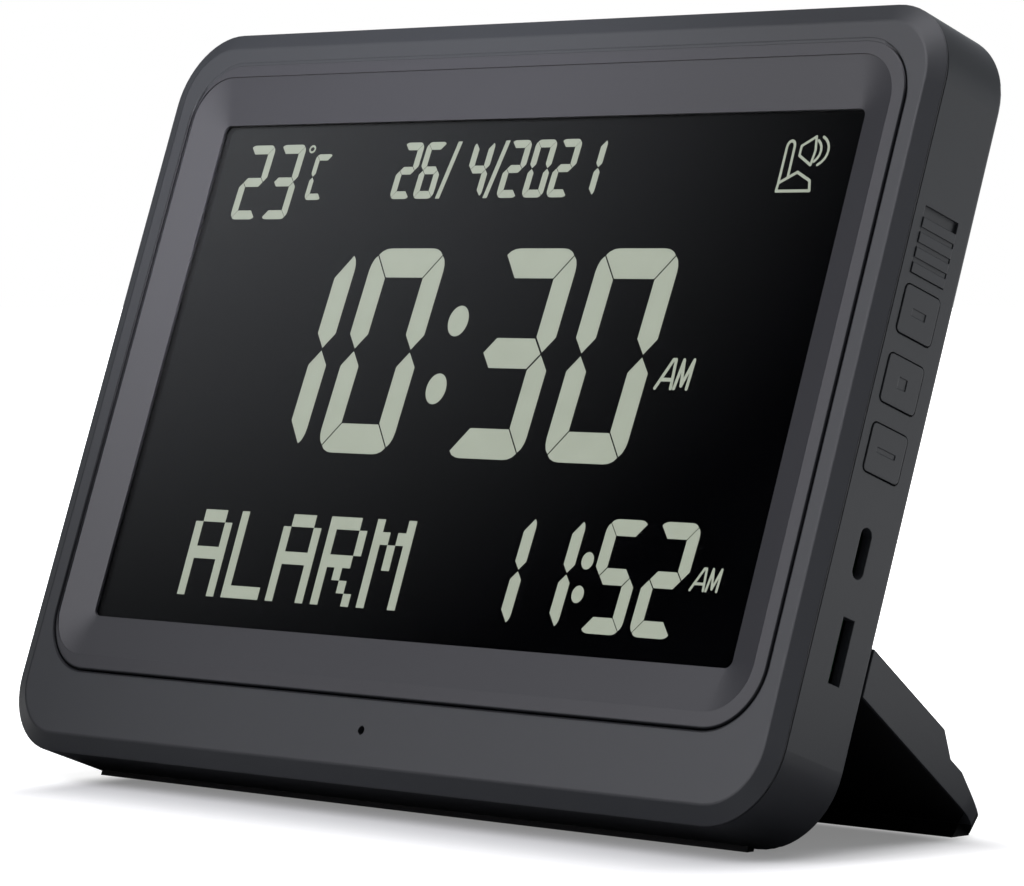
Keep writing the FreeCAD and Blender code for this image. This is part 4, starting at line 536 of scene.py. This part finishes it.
# ---------------------------------------------------------------- bezel
def make_groove_rib(material):
    """Rib that closes most of the groove along the top; it sinks away at both corners."""
    half_width, height = 0.33, 0.5
    top_depth, end_depth, fade_steps = 0.03, 1.4, 12
    radius = GROOVE_RADIUS
    left = arc_points(-GROOVE_CORNER_X, GROOVE_CORNER_Y, radius, radius, 172, 90, 33)
    right = arc_points(GROOVE_CORNER_X, GROOVE_CORNER_Y, radius, radius, 90, 40, 20)
    fade = [min(1, step / fade_steps) for step in range(len(left))]
    fade += [min(1, step / fade_steps) for step in reversed(range(len(right)))]
    bm = bmesh.new()
    rings = []
    for (x, y), share in zip(left + right, fade):
        # the way out of the rectangle, across the groove
        past_corner = x - math.copysign(GROOVE_CORNER_X, x)
        out_x = 0 if abs(x) < GROOVE_CORNER_X else past_corner / radius
        out_y = math.sqrt(1 - out_x ** 2)
        front = CASE_DEPTH - end_depth + (end_depth - top_depth) * share
        back = front - height
        rings.append([
            bm.verts.new((x + side * half_width * out_x, y + side * half_width * out_y, z))
            for side, z in ((-1, front), (1, front), (1, back), (-1, back))])
    for ring, following in zip(rings, rings[1:]):
        for index in range(4):
            bm.faces.new((ring[index], ring[index - 1], following[index - 1], following[index]))
    bm.faces.new(rings[0])
    bm.faces.new(rings[-1])
    piece_from("groove_rib", bm, material)


# ---------------------------------------------------------------- surroundings
def patch_distance(tree, place):
    """Distance from the patch that the clock covers; it counts for more at the ends and behind."""
    along = add(tree, "ShaderNodeSeparateXYZ", Vector=place)
    beyond = []
    # for each side, its weight and how far the patch reaches there, in metres
    for axis, sides in (("X", ((1.3, 0.085), (-2.8, 0.069))), ("Y", ((3.4, 0.033), (-1.0, 0.004)))):
        excess = [calculate(tree, "MULTIPLY_ADD", along.outputs[axis], weight, -abs(weight) * reach)
                  for weight, reach in sides]
        beyond.append(calculate(tree, "MAXIMUM", *excess))
    offset = add(tree, "ShaderNodeCombineXYZ", X=beyond[0], Y=beyond[1])
    outside = calculate_vector(tree, "MAXIMUM", offset.outputs[0], (0, 0, 0))
    return calculate_vector(tree, "LENGTH", outside)


def white_laminate():
    """Pale table: it keeps the real shadow near the clock, paints more shadow there by glowing less
    for the camera, and runs out to white further away.
    """
    material, tree = new_material("white_laminate")
    place = object_place(tree)
    rays = add(tree, "ShaderNodeLightPath")
    camera, glossy = rays.outputs["Is Camera Ray"], rays.outputs["Is Glossy Ray"]
    # all limits are in metres
    far_start, far_end = 0.12, 0.30
    near_start, near_end = 0.008, 0.05
    sheet_start, sheet_end = 0.07, 0.13
    far = ease(tree, calculate_vector(tree, "LENGTH", place), far_start, far_end)
    seen = calculate(tree, "MAXIMUM", camera, glossy)
    distant = calculate(tree, "MULTIPLY", seen, far)
    # the glow is weakest at the clock's patch: a painted shadow round the clock
    painted_shadow_lift = ease(tree, patch_distance(tree, place), near_start, near_end, NEAR_GLOW, FAR_GLOW)
    near = calculate(tree, "MULTIPLY", camera, painted_shadow_lift)
    glow = calculate(tree, "ADD", distant, near)
    # a white sheet lies on the right: it throws light on the side wall
    across = add(tree, "ShaderNodeSeparateXYZ", Vector=place).outputs["X"]
    sheet = spread(tree, across, sheet_start, sheet_end)
    bounce = blend(tree, sheet, srgb("#6c6c6e"), srgb("#98989a"))
    tint = blend(tree, camera, bounce, srgb("#bcbcbc"))
    shader = add(tree, "ShaderNodeBsdfPrincipled", Base_Color=tint, Roughness=0.9,
                 Emission_Color=srgb("#ffffff"), Emission_Strength=glow, Specular_IOR_Level=0.0)
    finish_material(tree, shader)
    return material


def black_felt():
    """Matte cloth with a short nap."""
    material, tree = new_material("black_felt")
    nap_size = 1.5
    nap = noise(tree, object_place(tree), nap_size)
    tint = blend(tree, nap, srgb("#0a0a0a"), srgb("#101010"))
    shader = add(tree, "ShaderNodeBsdfPrincipled", Base_Color=tint, Roughness=1.0)
    finish_material(tree, shader)
    return material


def make_floor():
    half_size = 6.0
    bm = bmesh.new()
    bmesh.ops.create_grid(bm, x_segments=1, y_segments=1, size=half_size)
    floor = object_from("table_top", bm, white_laminate())


def make_flag():
    """Black card beside the table's left end: it keeps part of the softbox off the lower left."""
    near_y, height = -0.12, 0.12
    corners = ((-0.30, 0), (-0.125, 0), (-0.155, height), (-0.30, height))
    bm = bmesh.new()
    bm.faces.new([bm.verts.new((x, near_y, z)) for x, z in corners])
    card = object_from("black_card", bm, black_felt())
    card.visible_camera = card.visible_glossy = card.visible_transmission = False


def make_world():
    """A dim studio: a white wall behind the clock, and a faint glow far out to the left."""
    world = bpy.data.worlds.new("studio")
    bpy.context.scene.world = world
    world.use_nodes = True
    tree = world.node_tree
    tree.nodes.clear()
    rays = add(tree, "ShaderNodeLightPath")
    camera = rays.outputs["Is Camera Ray"]
    way = add(tree, "ShaderNodeTexCoord").outputs["Generated"]
    angle = calculate(tree, "ARCCOSINE", calculate_vector(tree, "DOT_PRODUCT", way, GLOW_WAY))
    rise = calculate(tree, "POWER", spread(tree, angle, GLOW_WIDTH, 0.0), GLOW_CURVE)
    faint = calculate(tree, "MULTIPLY", rise, GLOW_STRENGTH)
    # the wall fades upwards; its limits are shares of the way's length
    wall_start, wall_end = 0.1, 0.5
    fade_start, fade_end = 0.05, 0.40
    full_light, least_light = 1.1, 0.22
    axes = add(tree, "ShaderNodeSeparateXYZ", Vector=way)
    wall = ease(tree, axes.outputs["Y"], wall_start, wall_end)
    level = ease(tree, axes.outputs["Z"], fade_start, fade_end, full_light, least_light)
    lit_wall = calculate(tree, "MULTIPLY", wall, level)
    # reflections see the wall and the glow, the camera sees white, and the rest is even light
    mirrored = calculate(tree, "ADD", faint, lit_wall)
    through = calculate(tree, "MAXIMUM", rays.outputs["Is Glossy Ray"],
                        rays.outputs["Is Transmission Ray"])
    strength = blend_value(tree, camera, blend_value(tree, through, FILL, mirrored), 1.0)
    tint = blend(tree, camera, srgb("#f6faff"), srgb("#ffffff"))
    white = add(tree, "ShaderNodeBackground", Color=tint, Strength=strength)
    add(tree, "ShaderNodeOutputWorld", Surface=white.outputs[0])


def aimed(side, height, distance):
    """A place in front of the clock: degrees to the left of straight on, degrees up, metres."""
    side, height = math.radians(side), math.radians(height)
    return (-distance * math.sin(side) * math.cos(height),
            -distance * math.cos(side) * math.cos(height),
            distance * math.sin(height) + CLOCK_MIDDLE[2])


def hang_lamp(name, light, place, target, power):
    """Hangs a lamp at its place, turned to its target."""
    light.energy = power
    light.color = srgb(LAMP_COLOUR)[:3]
    lamp = bpy.data.objects.new(name, light)
    bpy.context.scene.collection.objects.link(lamp)
    lamp.location = place
    lamp.rotation_euler = (Vector(target) - Vector(place)).to_track_quat("-Z", "Y").to_euler()


def add_softbox(name, place, target, width, height, power):
    light = bpy.data.lights.new(name, "AREA")
    light.shape = "RECTANGLE"
    light.size = width
    light.size_y = height
    hang_lamp(name, light, place, target, power)


def add_accent(name, place, target, beam, power):
    """A spot with a narrow beam, in degrees, and a soft edge."""
    light = bpy.data.lights.new(name, "SPOT")
    light.spot_size = math.radians(beam)
    light.spot_blend = 1.0
    light.shadow_soft_size = 0.03
    hang_lamp(name, light, place, target, power)


def make_lights():
    add_softbox("front_softbox", aimed(33.5, 41.8, 4.0), CLOCK_MIDDLE,
                width=1.6, height=4.96, power=104.0)
    add_softbox("top_softbox", (0.1, 0.25, 1.1), (0, 0.02, 0), width=1.0, height=1.0, power=7.0)
    add_accent("upper_left_accent", aimed(-40, 30, 1.2), UPPER_LEFT, beam=8.6, power=75.0)


def make_camera():
    data = bpy.data.cameras.new("camera")
    data.sensor_fit = "HORIZONTAL"
    data.sensor_width = SENSOR_WIDTH
    data.lens = FOCAL_POINTS / PICTURE_POINTS * SENSOR_WIDTH
    data.clip_start = 0.05
    camera = bpy.data.objects.new("camera", data)
    bpy.context.scene.collection.objects.link(camera)
    camera.location = CAMERA_PLACE
    camera.rotation_euler = (math.pi / 2 - CAMERA_DIP, 0, CAMERA_TURN)
    bpy.context.scene.camera = camera


make_camera()
make_floor()
make_world()
make_lights()
make_flag()
dress_case()
dress_inside()
make_display()

bpy.context.scene.view_settings.view_transform = "Standard"
